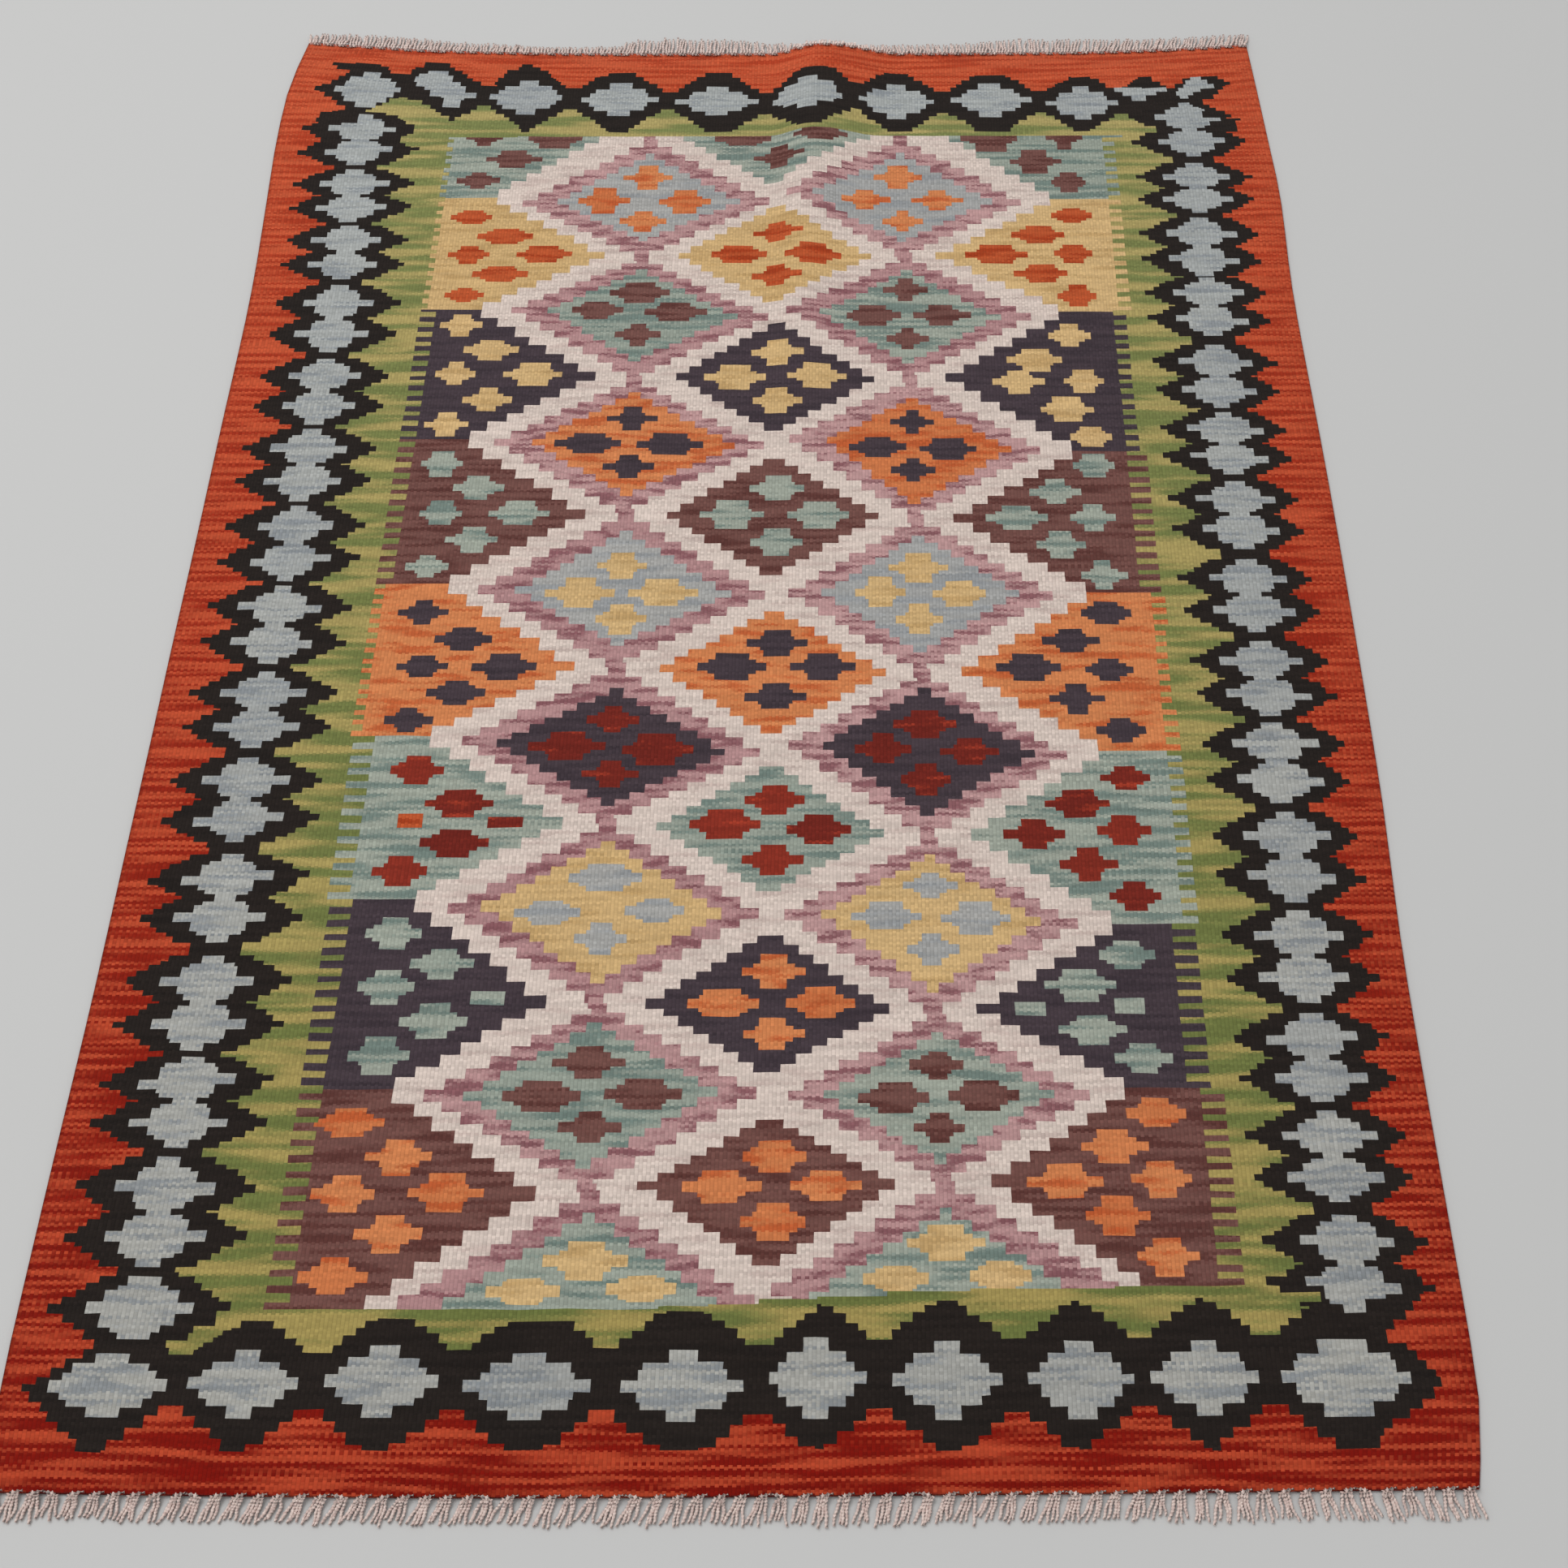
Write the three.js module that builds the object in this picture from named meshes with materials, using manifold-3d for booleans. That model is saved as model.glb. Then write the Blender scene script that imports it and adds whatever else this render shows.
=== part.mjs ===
// Kilim rug: one flat woven cloth with a row of knotted warp fringe at each end.
// Millimetres. X runs across the width, +Y along the length to the far end, +Z is up.
import * as THREE from 'three';
import { mergeVertices } from 'three/addons/utils/BufferGeometryUtils.js';
import Module from 'manifold-3d';

const wasm = await Module();
wasm.setup();

// ---- driving dimensions ----

const clothWidth = 1000;
const clothLength = 1485;
const clothThickness = 3;
const edgePull = 200; // how far in from an edge its unevenness dies away

const knotCount = 72; // on each end
const knotPitch = clothWidth / knotCount;
const knotWide = 3.4; // knot row, out from the cloth's edge at a knot
const knotTall = 3;
const cordWide = 1.7; // the same row halfway between two knots
const cordTall = 1.7;
const seamGap = 0.3; // between the cloth's edge and the knot row

const strandsPerKnot = 2;
const strandWidth = 2.4;
const strandHeight = 2.2;
const strandTaper = 0.7; // tip width over root width
const strandRootSpread = 1.3; // half the distance between a knot's strands, at the knot
const strandTipSpread = 3.5; // and at their tips
const strandBend = 0.45; // how far along a strand its bend lies

// How far each edge stands out from a straight one. A row is one place along that edge.
const leftEdge = [
  { fromFar: 0, out: 2 }, { fromFar: 70, out: 12 }, { fromFar: 150, out: 12 },
  { fromFar: 220, out: 8.5 }, { fromFar: 360, out: 2 }, { fromFar: 520, out: 1 },
  { fromFar: 1100, out: -1.5 }, { fromFar: 1400, out: 0 }, { fromFar: 1485, out: -4 },
];
const rightEdge = [
  { fromFar: 0, out: -2 }, { fromFar: 70, out: 1.5 }, { fromFar: 150, out: 5 },
  { fromFar: 225, out: 7.5 }, { fromFar: 360, out: 4.5 }, { fromFar: 620, out: 8.5 },
  { fromFar: 930, out: 9 }, { fromFar: 1100, out: 5 }, { fromFar: 1400, out: 7.5 },
  { fromFar: 1440, out: 5.5 }, { fromFar: 1485, out: -2.5 },
];
const farEdge = [
  { fromLeft: 0, out: 18 }, { fromLeft: 65, out: 11 }, { fromLeft: 130, out: 4.5 },
  { fromLeft: 300, out: -1.5 }, { fromLeft: 430, out: -2 }, { fromLeft: 766, out: -2 },
  { fromLeft: 840, out: -0.5 }, { fromLeft: 914, out: 3.2 }, { fromLeft: 1000, out: 10 },
];
const nearEdge = [
  { fromLeft: 0, out: 0 }, { fromLeft: 150, out: 2.5 }, { fromLeft: 370, out: 4.2 },
  { fromLeft: 730, out: 2 }, { fromLeft: 1000, out: -0.5 },
];

// The low ridge that runs in from the far edge, section by section.
const ridgeSections = [
  { fromFar: 0, crest: 545, leftFoot: 55, rightFoot: 90, height: 12.5 },
  { fromFar: 150, crest: 538, leftFoot: 48, rightFoot: 75, height: 12 },
  { fromFar: 280, crest: 530, leftFoot: 42, rightFoot: 52, height: 7 },
  { fromFar: 400, crest: 527, leftFoot: 38, rightFoot: 46, height: 4 },
  { fromFar: 520, crest: 525, leftFoot: 36, rightFoot: 44, height: 0 },
];

// Length of the fringe and how far it leans to +X, place by place.
const farFringe = [
  { fromLeft: 0, length: 15, lean: -1 }, { fromLeft: 80, length: 20, lean: 0 },
  { fromLeft: 180, length: 14, lean: 1 }, { fromLeft: 320, length: 12, lean: 0 },
  { fromLeft: 350, length: 23, lean: 1 }, { fromLeft: 430, length: 24, lean: -1 },
  { fromLeft: 480, length: 19, lean: 0 }, { fromLeft: 560, length: 14, lean: 0 },
  { fromLeft: 640, length: 14, lean: -1 }, { fromLeft: 700, length: 17, lean: 1 },
  { fromLeft: 770, length: 23, lean: 1 }, { fromLeft: 850, length: 20, lean: 6 },
  { fromLeft: 1000, length: 18, lean: 6 },
];
const nearFringe = [
  { fromLeft: 0, length: 18, lean: -2 }, { fromLeft: 120, length: 17, lean: -5 },
  { fromLeft: 380, length: 18, lean: -6 }, { fromLeft: 560, length: 19, lean: -3 },
  { fromLeft: 720, length: 18, lean: -5 }, { fromLeft: 840, length: 19, lean: 1 },
  { fromLeft: 920, length: 19, lean: 5 }, { fromLeft: 1000, length: 19, lean: 4 },
];

// Grid steps of the cloth: fine where the ridge is, coarse on the flat.
const columnBands = [{ to: 480, steps: 10 }, { to: 650, steps: 14 }, { to: 1000, steps: 8 }];
const rowBands = [{ to: 240, steps: 10 }, { to: 540, steps: 8 }, { to: 1485, steps: 14 }];

// ---- helpers ----

// A smooth curve through a table's rows: value(key) by cubic pieces.
function curveThrough(rows, key, value) {
  const slope = rows.map((row, i) => {
    const before = rows[Math.max(i - 1, 0)];
    const after = rows[Math.min(i + 1, rows.length - 1)];
    return (after[value] - before[value]) / (after[key] - before[key]);
  });
  return (place) => {
    const at = THREE.MathUtils.clamp(place, rows[0][key], rows[rows.length - 1][key]);
    let i = 0;
    while (i < rows.length - 2 && at > rows[i + 1][key]) i += 1;
    const span = rows[i + 1][key] - rows[i][key];
    const t = (at - rows[i][key]) / span;
    const rise = t * t * (3 - 2 * t);
    return rows[i][value] * (1 - rise) + rows[i + 1][value] * rise
      + span * t * (1 - t) * ((1 - t) * slope[i] - t * slope[i + 1]);
  };
}

function stations(bands) {
  const places = [0];
  for (const band of bands) {
    const from = places[places.length - 1];
    for (let i = 1; i <= band.steps; i += 1) places.push(from + ((band.to - from) * i) / band.steps);
  }
  return places;
}

// A repeatable uneven number from -1 to 1 for a whole number.
function uneven(seed) {
  const wave = Math.sin(seed * 12.9898 + 4.1) * 43758.5453;
  return 2 * (wave - Math.floor(wave)) - 1;
}

function closedGeometry(points, faces) {
  const geometry = new THREE.BufferGeometry();
  geometry.setAttribute('position', new THREE.Float32BufferAttribute(points.flat(), 3));
  geometry.setIndex(faces.flat());
  return geometry;
}

function toSolid(geometry) {
  const merged = mergeVertices(geometry);
  return new wasm.Manifold(new wasm.Mesh({
    numProp: 3,
    vertProperties: new Float32Array(merged.attributes.position.array),
    triVerts: new Uint32Array(merged.index.array),
  }));
}

function toGeometry(solid) {
  const mesh = solid.getMesh();
  const geometry = new THREE.BufferGeometry();
  geometry.setAttribute('position', new THREE.BufferAttribute(new Float32Array(mesh.vertProperties), 3));
  geometry.setIndex(new THREE.BufferAttribute(new Uint32Array(mesh.triVerts), 1));
  return geometry;
}

// A closed bar through rings of equal length, capped at both ends.
function loftGeometry(rings) {
  const count = rings[0].length;
  const faces = [];
  for (let ring = 0; ring < rings.length - 1; ring += 1) {
    for (let side = 0; side < count; side += 1) {
      const a = ring * count + side;
      const b = ring * count + ((side + 1) % count);
      faces.push([a, b, b + count], [a, b + count, a + count]);
    }
  }
  const last = (rings.length - 1) * count;
  for (let side = 1; side < count - 1; side += 1) {
    faces.push([0, side + 1, side], [last, last + side, last + side + 1]);
  }
  return closedGeometry(rings.flat(), faces);
}

// ---- the lie of the cloth ----

const leftOut = curveThrough(leftEdge, 'fromFar', 'out');
const rightOut = curveThrough(rightEdge, 'fromFar', 'out');
const farOut = curveThrough(farEdge, 'fromLeft', 'out');
const nearOut = curveThrough(nearEdge, 'fromLeft', 'out');
const ridge = Object.fromEntries(['crest', 'leftFoot', 'rightFoot', 'height']
  .map((column) => [column, curveThrough(ridgeSections, 'fromFar', column)]));

function fade(distance) {
  return 1 - THREE.MathUtils.smoothstep(distance, 0, edgePull);
}

function ridgeHeight(fromLeft, fromFar) {
  const offset = fromLeft - ridge.crest(fromFar);
  const foot = offset < 0 ? ridge.leftFoot(fromFar) : ridge.rightFoot(fromFar);
  const across = Math.min(Math.abs(offset) / foot, 1);
  return Math.max(ridge.height(fromFar), 0) * 0.5 * (1 + Math.cos(Math.PI * across));
}

// Where a point of the flat cloth lies: its place on the ground and its underside's height.
function lie(fromLeft, fromFar) {
  const fromRight = clothWidth - fromLeft;
  const fromNear = clothLength - fromFar;
  return {
    x: fromLeft - clothWidth / 2 - leftOut(fromFar) * fade(fromLeft) + rightOut(fromFar) * fade(fromRight),
    y: clothLength / 2 - fromFar + farOut(fromLeft) * fade(fromFar) - nearOut(fromLeft) * fade(fromNear),
    z: ridgeHeight(fromLeft, fromFar),
  };
}

// The same along an end, on the straight stretches between the cloth's columns.
function endLine(fromFar) {
  const columns = stations(columnBands);
  const points = columns.map((column) => lie(column, fromFar));
  return (fromLeft) => {
    const at = THREE.MathUtils.clamp(fromLeft, 0, clothWidth);
    let i = 0;
    while (i < columns.length - 2 && at > columns[i + 1]) i += 1;
    const t = (at - columns[i]) / (columns[i + 1] - columns[i]);
    const [a, b] = [points[i], points[i + 1]];
    return {
      x: THREE.MathUtils.lerp(a.x, b.x, t),
      y: THREE.MathUtils.lerp(a.y, b.y, t),
      z: THREE.MathUtils.lerp(a.z, b.z, t),
    };
  };
}

// ---- cloth ----

function clothGeometry() {
  const columns = stations(columnBands);
  const rows = stations(rowBands);
  const width = columns.length;
  const layer = width * rows.length;
  const points = [];
  for (const lift of [0, clothThickness]) {
    for (const row of rows) {
      for (const column of columns) {
        const place = lie(column, row);
        points.push([place.x, place.y, place.z + lift]);
      }
    }
  }
  const faces = [];
  for (let r = 0; r < rows.length - 1; r += 1) {
    for (let c = 0; c < width - 1; c += 1) {
      const [a, b] = [r * width + c, r * width + c + 1];
      const [d, e] = [a + width, b + width];
      faces.push([a, b, e], [a, e, d]);
      faces.push([a + layer, e + layer, b + layer], [a + layer, d + layer, e + layer]);
    }
  }
  const rim = [];
  for (let c = 0; c < width - 1; c += 1) rim.push(c);
  for (let r = 0; r < rows.length - 1; r += 1) rim.push(r * width + width - 1);
  for (let c = width - 1; c > 0; c -= 1) rim.push((rows.length - 1) * width + c);
  for (let r = rows.length - 1; r > 0; r -= 1) rim.push(r * width);
  rim.forEach((a, i) => {
    const b = rim[(i + 1) % rim.length];
    faces.push([a, b + layer, b], [a, a + layer, b + layer]);
  });
  return closedGeometry(points, faces);
}

// ---- fringe ----

// The row of knots along one end, thick at each knot and thin between.
function knotRowGeometry(edgeAt, outward) {
  const rings = [];
  for (let i = 0; i <= 2 * knotCount; i += 1) {
    const knot = i % 2 === 1;
    const wide = knot ? knotWide : cordWide;
    const tall = knot ? knotTall : cordTall;
    const edge = edgeAt((i * knotPitch) / 2);
    const near = edge.y + outward * seamGap;
    const far = near + outward * wide;
    const ring = [
      [edge.x, near, edge.z], [edge.x, near, edge.z + tall],
      [edge.x, far, edge.z + tall], [edge.x, far, edge.z],
    ];
    rings.push(outward > 0 ? ring.reverse() : ring);
  }
  return loftGeometry(rings);
}

// One strand: three sides, flat underneath, from its knot down onto the floor.
function strandGeometry(root, tip, outward) {
  const bend = {
    x: THREE.MathUtils.lerp(root.x, tip.x, strandBend),
    y: THREE.MathUtils.lerp(root.y, tip.y, strandBend),
    z: root.z * (1 - strandBend),
  };
  const rings = [root, bend, tip].map((place, i) => {
    const size = i === 2 ? strandTaper : 1;
    const half = (strandWidth * size) / 2;
    const ring = [
      [place.x - half, place.y, place.z], [place.x, place.y, place.z + strandHeight * size],
      [place.x + half, place.y, place.z],
    ];
    return outward < 0 ? ring.reverse() : ring;
  });
  return loftGeometry(rings);
}

function fringeGeometry(end, table, outward) {
  const edgeAt = endLine(end);
  const lengthAt = curveThrough(table, 'fromLeft', 'length');
  const leanAt = curveThrough(table, 'fromLeft', 'lean');
  const solids = [toSolid(knotRowGeometry(edgeAt, outward))];
  for (let knot = 0; knot < knotCount; knot += 1) {
    const fromLeft = (knot + 0.5) * knotPitch;
    const edge = edgeAt(fromLeft);
    const rootY = edge.y + outward * (seamGap + knotWide / 2);
    for (let strand = 0; strand < strandsPerKnot; strand += 1) {
      const side = strand === 0 ? -1 : 1;
      const seed = knot * strandsPerKnot + strand;
      const root = { x: edge.x + side * strandRootSpread, y: rootY, z: edge.z };
      const length = lengthAt(fromLeft) * (1 + 0.1 * uneven(seed));
      const tip = {
        x: edge.x + side * strandTipSpread + leanAt(fromLeft) + 0.8 * uneven(seed + 500),
        y: edge.y + outward * (seamGap + length),
        z: 0,
      };
      solids.push(toSolid(strandGeometry(root, tip, outward)));
    }
  }
  return toGeometry(wasm.Manifold.union(solids));
}

// ---- assembly ----

const dyedWool = new THREE.MeshStandardMaterial({ color: '#a8573c', roughness: 0.95, metalness: 0 });
const warpCotton = new THREE.MeshStandardMaterial({ color: '#c8b0a6', roughness: 0.95, metalness: 0 });

const rug = new THREE.Group();

function addPiece(name, geometry, material) {
  const mesh = new THREE.Mesh(geometry, material);
  mesh.name = name;
  rug.add(mesh);
}

addPiece('kilim_cloth', clothGeometry(), dyedWool);
addPiece('far_fringe', fringeGeometry(0, farFringe, 1), warpCotton);
addPiece('near_fringe', fringeGeometry(clothLength, nearFringe, -1), warpCotton);

// The origin is at the middle of the floor that the rug covers.
const reach = new THREE.Box3().setFromObject(rug, true);
const middle = reach.getCenter(new THREE.Vector3());
rug.position.set(-middle.x, -middle.y, -reach.min.z);

export default rug;
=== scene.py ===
"""Kilim rug: the looks of a flat woven wool rug with a knotted fringe at each end.

The cloth is one closed sheet. Its faces follow a chart of warps and rows, each face in the dye of
its own yarn, and the weave is in its material. The fringes are grown by Geometry Nodes.
"""

import logging
import math
from collections import defaultdict
from dataclasses import dataclass, field
from enum import Enum, IntEnum
from typing import Callable, NamedTuple, Sequence

import bpy
import numpy as np
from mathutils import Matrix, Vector


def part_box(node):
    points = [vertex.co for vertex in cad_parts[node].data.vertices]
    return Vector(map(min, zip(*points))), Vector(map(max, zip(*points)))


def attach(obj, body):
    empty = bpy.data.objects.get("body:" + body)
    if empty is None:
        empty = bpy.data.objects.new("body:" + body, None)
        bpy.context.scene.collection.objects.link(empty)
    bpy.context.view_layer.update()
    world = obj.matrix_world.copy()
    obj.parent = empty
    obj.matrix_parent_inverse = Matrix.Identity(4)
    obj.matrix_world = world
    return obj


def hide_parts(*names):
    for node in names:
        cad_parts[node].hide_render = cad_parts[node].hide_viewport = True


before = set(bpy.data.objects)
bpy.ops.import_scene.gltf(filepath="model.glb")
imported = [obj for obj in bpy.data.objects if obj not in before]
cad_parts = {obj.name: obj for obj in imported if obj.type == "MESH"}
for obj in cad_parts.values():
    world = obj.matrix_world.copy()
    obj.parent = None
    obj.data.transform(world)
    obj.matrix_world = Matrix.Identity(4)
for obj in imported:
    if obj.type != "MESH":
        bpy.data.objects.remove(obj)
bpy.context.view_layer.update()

log = logging.getLogger("kilim")

MM = 0.001
CLOTH_NODE = "kilim_cloth"
FAR_NODE = "far_fringe"
NEAR_NODE = "near_fringe"
WOOL_SLOT = "dyed_wool"
COTTON_SLOT = "warp_cotton"
LEAN_STEP = 1.7  # between two dye lots, in the numbers that their shades are drawn from,
LOT_STEP = 0.6180339  # and in those that their streaks are


# ---- Yarns ----


class Yarn(Enum):
    """The dyed wools, by the number that a chart cell holds."""

    RED = 0
    BLACK = 1
    GREEN = 2
    CREAM = 3
    STONE = 4
    PINK = 5
    TEAL = 6
    SKY = 7
    STRAW = 8
    ORANGE = 9
    NAVY = 10
    MAROON = 11
    OXBLOOD = 12
    SCARLET = 13


@dataclass(frozen=True)
class Dye:
    """How a wool took its dye: two shades, and how the second one streaks the first.

    Attributes:
        main: the usual shade, sRGB 0 to 255.
        streak: the shade of its streaks, sRGB 0 to 255.
        depth: how much of the streak shade comes through, 0 to 1.
        share: how much of the cloth is streaked, 0 to 1.
        band: a streak's height along the rug, in millimetres.
        reach: a streak's length across the rug, in millimetres.
        vary: how far one dye lot's usual shade may lean to the streak shade, 0 to 1.
        near: the same wool at the rug's near end, where that differs.
    """

    main: tuple[float, float, float]
    streak: tuple[float, float, float]
    depth: float = 0.8
    share: float = 0.4
    band: float = 5
    reach: float = 60
    vary: float = 0
    near: "Dye | None" = None

    def at(self, along: float, lot: int) -> "Dye":
        """Gives the dye of one patch.

        Args:
            along: how far along the rug it is, 0 at the far end to 1.
            lot: its dye lot.

        Returns:
            The dye there.
        """
        end = self.near or self
        main = [a + (b - a) * along for a, b in zip(self.main, end.main)]
        streak = [a + (b - a) * along for a, b in zip(self.streak, end.streak)]
        lean = self.vary * max(uneven(lot * LEAN_STEP), 0)
        return Dye(
            main=tuple(a + (b - a) * lean for a, b in zip(main, streak)), streak=tuple(streak),
            depth=self.depth, share=self.share + (end.share - self.share) * along,
            band=self.band, reach=self.reach,
        )


DYES: dict[Yarn, Dye] = {
    Yarn.RED: Dye((172, 62, 33), (198, 90, 56), 0.9, 0.55, 4.5, 90,
                  near=Dye((124, 18, 8), (184, 72, 44), share=0.45)),
    Yarn.BLACK: Dye((38, 32, 29), (28, 24, 22), 0.5),
    Yarn.GREEN: Dye((122, 128, 77), (174, 158, 102), 0.9, 0.5, 13, 130,
                    near=Dye((104, 112, 60), (166, 147, 86), share=0.48)),
    Yarn.CREAM: Dye((212, 196, 186), (190, 170, 162), 0.7, 0.3, 6, 40),
    Yarn.STONE: Dye((164, 168, 167), (132, 138, 144), 0.75, 0.34, 4, 45, 0.25,
                    near=Dye((166, 165, 159), (122, 128, 134), share=0.4)),
    Yarn.PINK: Dye((185, 146, 145), (124, 75, 82), 0.85, 0.4, 5.5, 34, 0.2),
    Yarn.TEAL: Dye((156, 162, 150), (102, 120, 114), 0.85, 0.42, 6, 70, 0.15),
    Yarn.SKY: Dye((164, 163, 160), (138, 142, 146), 0.7, 0.35, 8, 60, 0.2),
    Yarn.STRAW: Dye((206, 173, 122), (180, 146, 96), 0.7, 0.35, 6, 50, 0.2),
    Yarn.ORANGE: Dye((206, 128, 80), (182, 82, 42), 0.8, 0.35, 7, 45, 0.4),
    Yarn.NAVY: Dye((70, 59, 65), (54, 46, 52), 0.6),
    Yarn.MAROON: Dye((114, 77, 71), (84, 46, 42), 0.8, 0.4, 5, 60),
    Yarn.OXBLOOD: Dye((110, 36, 28), (166, 60, 40), 0.8, 0.18, 6, 40, 0.45),
    Yarn.SCARLET: Dye((184, 84, 46), (154, 52, 20), 0.8),
}


def linear(shade: Sequence[float]) -> tuple[float, float, float]:
    """Turns an sRGB shade into linear light.

    Args:
        shade: red, green and blue, 0 to 255.

    Returns:
        The same colour as linear values, 0 to 1.
    """
    unit = [value / 255 for value in shade]
    return tuple(v / 12.92 if v <= 0.04045 else ((v + 0.055) / 1.055) ** 2.4 for v in unit)


def uneven(seed: float) -> float:
    """Gives a repeatable uneven number.

    Args:
        seed: any number.

    Returns:
        A value from -1 to 1.
    """
    wave = math.sin(seed * 12.9898 + 4.1) * 43758.5453
    return 2 * (wave - math.floor(wave)) - 1


# ---- The lie of the cloth ----


def curve_through(rows: Sequence[tuple[float, float]]) -> Callable[[np.ndarray], np.ndarray]:
    """Makes a smooth curve through a table's rows, by cubic pieces.

    Args:
        rows: (place, value) pairs, the places rising.

    Returns:
        A function from places to values, level with the end rows beyond them.
    """
    keys = np.array([row[0] for row in rows], float)
    values = np.array([row[1] for row in rows], float)
    before = np.maximum(np.arange(len(rows)) - 1, 0)
    after = np.minimum(np.arange(len(rows)) + 1, len(rows) - 1)
    slopes = (values[after] - values[before]) / (keys[after] - keys[before])

    def value(place: np.ndarray) -> np.ndarray:
        """Reads the curve.

        Args:
            place: where to read it.

        Returns:
            Its value at each place.
        """
        at = np.clip(np.asarray(place, float), keys[0], keys[-1])
        i = np.clip(np.searchsorted(keys, at, side="left") - 1, 0, len(rows) - 2)
        span = keys[i + 1] - keys[i]
        t = (at - keys[i]) / span
        rise = t * t * (3 - 2 * t)
        bend = span * t * (1 - t) * ((1 - t) * slopes[i] - t * slopes[i + 1])
        return values[i] * (1 - rise) + values[i + 1] * rise + bend

    return value


class RidgeSection(NamedTuple):
    """One section across the low ridge that runs in from the far edge, in millimetres."""

    from_far: float
    crest: float
    left_foot: float
    right_foot: float
    height: float


@dataclass
class ClothLie:
    """Where the woven cloth lies on the floor: its drawn edges and its one low ridge.

    Lengths are in millimetres. A place on the cloth is its distance from the left edge and from
    the far edge of the straight cloth. A place on the floor is measured from the same left edge,
    and from a line `margin` beyond the far edge, with y running towards the near end.
    """

    width: float = 1000
    length: float = 1485
    thickness: float = 3
    edge_pull: float = 200
    left_edge: tuple = (
        (0, 2), (70, 12), (150, 12), (220, 8.5), (360, 2), (520, 1), (1100, -1.5), (1400, 0), (1485, -4),
    )
    right_edge: tuple = (
        (0, -2), (70, 1.5), (150, 5), (225, 7.5), (360, 4.5), (620, 8.5), (930, 9), (1100, 5),
        (1400, 7.5), (1440, 5.5), (1485, -2.5),
    )
    far_edge: tuple = (
        (0, 18), (65, 11), (130, 4.5), (300, -1.5), (430, -2), (766, -2), (840, -0.5), (914, 3.2), (1000, 10),
    )
    near_edge: tuple = ((0, 0), (150, 2.5), (370, 4.2), (730, 2), (1000, -0.5))
    ridge: tuple = (
        RidgeSection(0, 545, 55, 90, 12.5),
        RidgeSection(150, 538, 48, 75, 12),
        RidgeSection(280, 530, 42, 52, 7),
        RidgeSection(400, 527, 38, 46, 4),
        RidgeSection(520, 525, 36, 44, 0),
    )
    margin: float = 15
    ripple: float = 0.35  # how far the flat cloth wavers up and down
    rounds: int = 4  # in which unlay() closes in on a place
    samples: int = 400  # of each edge, for its box
    shift: tuple = (0.0, 0.0)  # from the drawing to the frame, set by register()

    def __post_init__(self) -> None:
        """Makes the curves through the tables."""
        self.left_out = curve_through(self.left_edge)
        self.right_out = curve_through(self.right_edge)
        self.far_out = curve_through(self.far_edge)
        self.near_out = curve_through(self.near_edge)
        columns = {
            name: curve_through([(row.from_far, getattr(row, name)) for row in self.ridge])
            for name in ("crest", "left_foot", "right_foot", "height")
        }
        self.crest, self.left_foot = columns["crest"], columns["left_foot"]
        self.right_foot, self.height = columns["right_foot"], columns["height"]

    def fade(self, distance: np.ndarray) -> np.ndarray:
        """Gives how much of an edge's unevenness is felt this far in from it, 1 to 0."""
        t = np.clip(distance / self.edge_pull, 0, 1)
        return 1 - t * t * (3 - 2 * t)

    def rise(self, left: np.ndarray, far: np.ndarray) -> np.ndarray:
        """Gives the ridge's height under the cloth.

        Args:
            left: distances from the left edge.
            far: distances from the far edge.

        Returns:
            The height of the cloth's underside over the floor.
        """
        offset = left - self.crest(far)
        foot = np.where(offset < 0, self.left_foot(far), self.right_foot(far))
        across = np.minimum(np.abs(offset) / foot, 1)
        return np.maximum(self.height(far), 0) * 0.5 * (1 + np.cos(np.pi * across))

    def pull(self, left: np.ndarray, far: np.ndarray) -> tuple[np.ndarray, np.ndarray]:
        """Gives how far the drawn edges move a place of the cloth.

        Args:
            left: distances from the left edge.
            far: distances from the far edge.

        Returns:
            The move to the right, and the move towards the near end.
        """
        across = self.right_out(far) * self.fade(self.width - left) - self.left_out(far) * self.fade(left)
        along = self.near_out(left) * self.fade(self.length - far) - self.far_out(left) * self.fade(far)
        return across, along

    def place(self, left: np.ndarray, far: np.ndarray) -> np.ndarray:
        """Lays places of the cloth on the floor, in the frame.

        Args:
            left: distances from the left edge.
            far: distances from the far edge.

        Returns:
            An array of x, y and the underside's height, in the frame's own millimetres.
        """
        left, far = np.asarray(left, float), np.asarray(far, float)
        across, along = self.pull(left, far)
        x = left + across + self.shift[0]
        y = -(far + along) + self.shift[1]
        return np.stack([x, y, self.rise(left, far)], axis=-1)

    def unlay(self, x: float, y: float) -> tuple[float, float]:
        """Finds which place of the cloth lies at a place on the floor.

        Args:
            x: distance from the left edge's line.
            y: distance from the line `margin` beyond the cloth.

        Returns:
            The distances from the cloth's left and far edges.
        """
        left, far = x, y - self.margin
        for _ in range(self.rounds):
            across, along = self.pull(np.float64(left), np.float64(far))
            left, far = x - float(across), y - self.margin - float(along)
        return left, far

    def register(self, low: Sequence[float], high: Sequence[float]) -> None:
        """Sets the shift so that the cloth's outline fills its box in the frame.

        Args:
            low: lowest corner of the cloth's box, in metres.
            high: highest corner.
        """
        along = np.linspace(0, 1, self.samples)
        rim = np.concatenate([
            self.place(along * 0, along * self.length),
            self.place(along * 0 + self.width, along * self.length),
            self.place(along * self.width, along * 0),
            self.place(along * self.width, along * 0 + self.length),
        ])
        middle = (rim.min(0) + rim.max(0)) / 2
        self.shift = tuple((low[i] + high[i]) / 2 / MM - middle[i] for i in range(2))


# ---- The chart ----


WHOLE_CLOTH = (-100.0, 1100.0, -100.0, 1700.0)  # x0, x1, y0, y1 of a window that holds all of it


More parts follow.
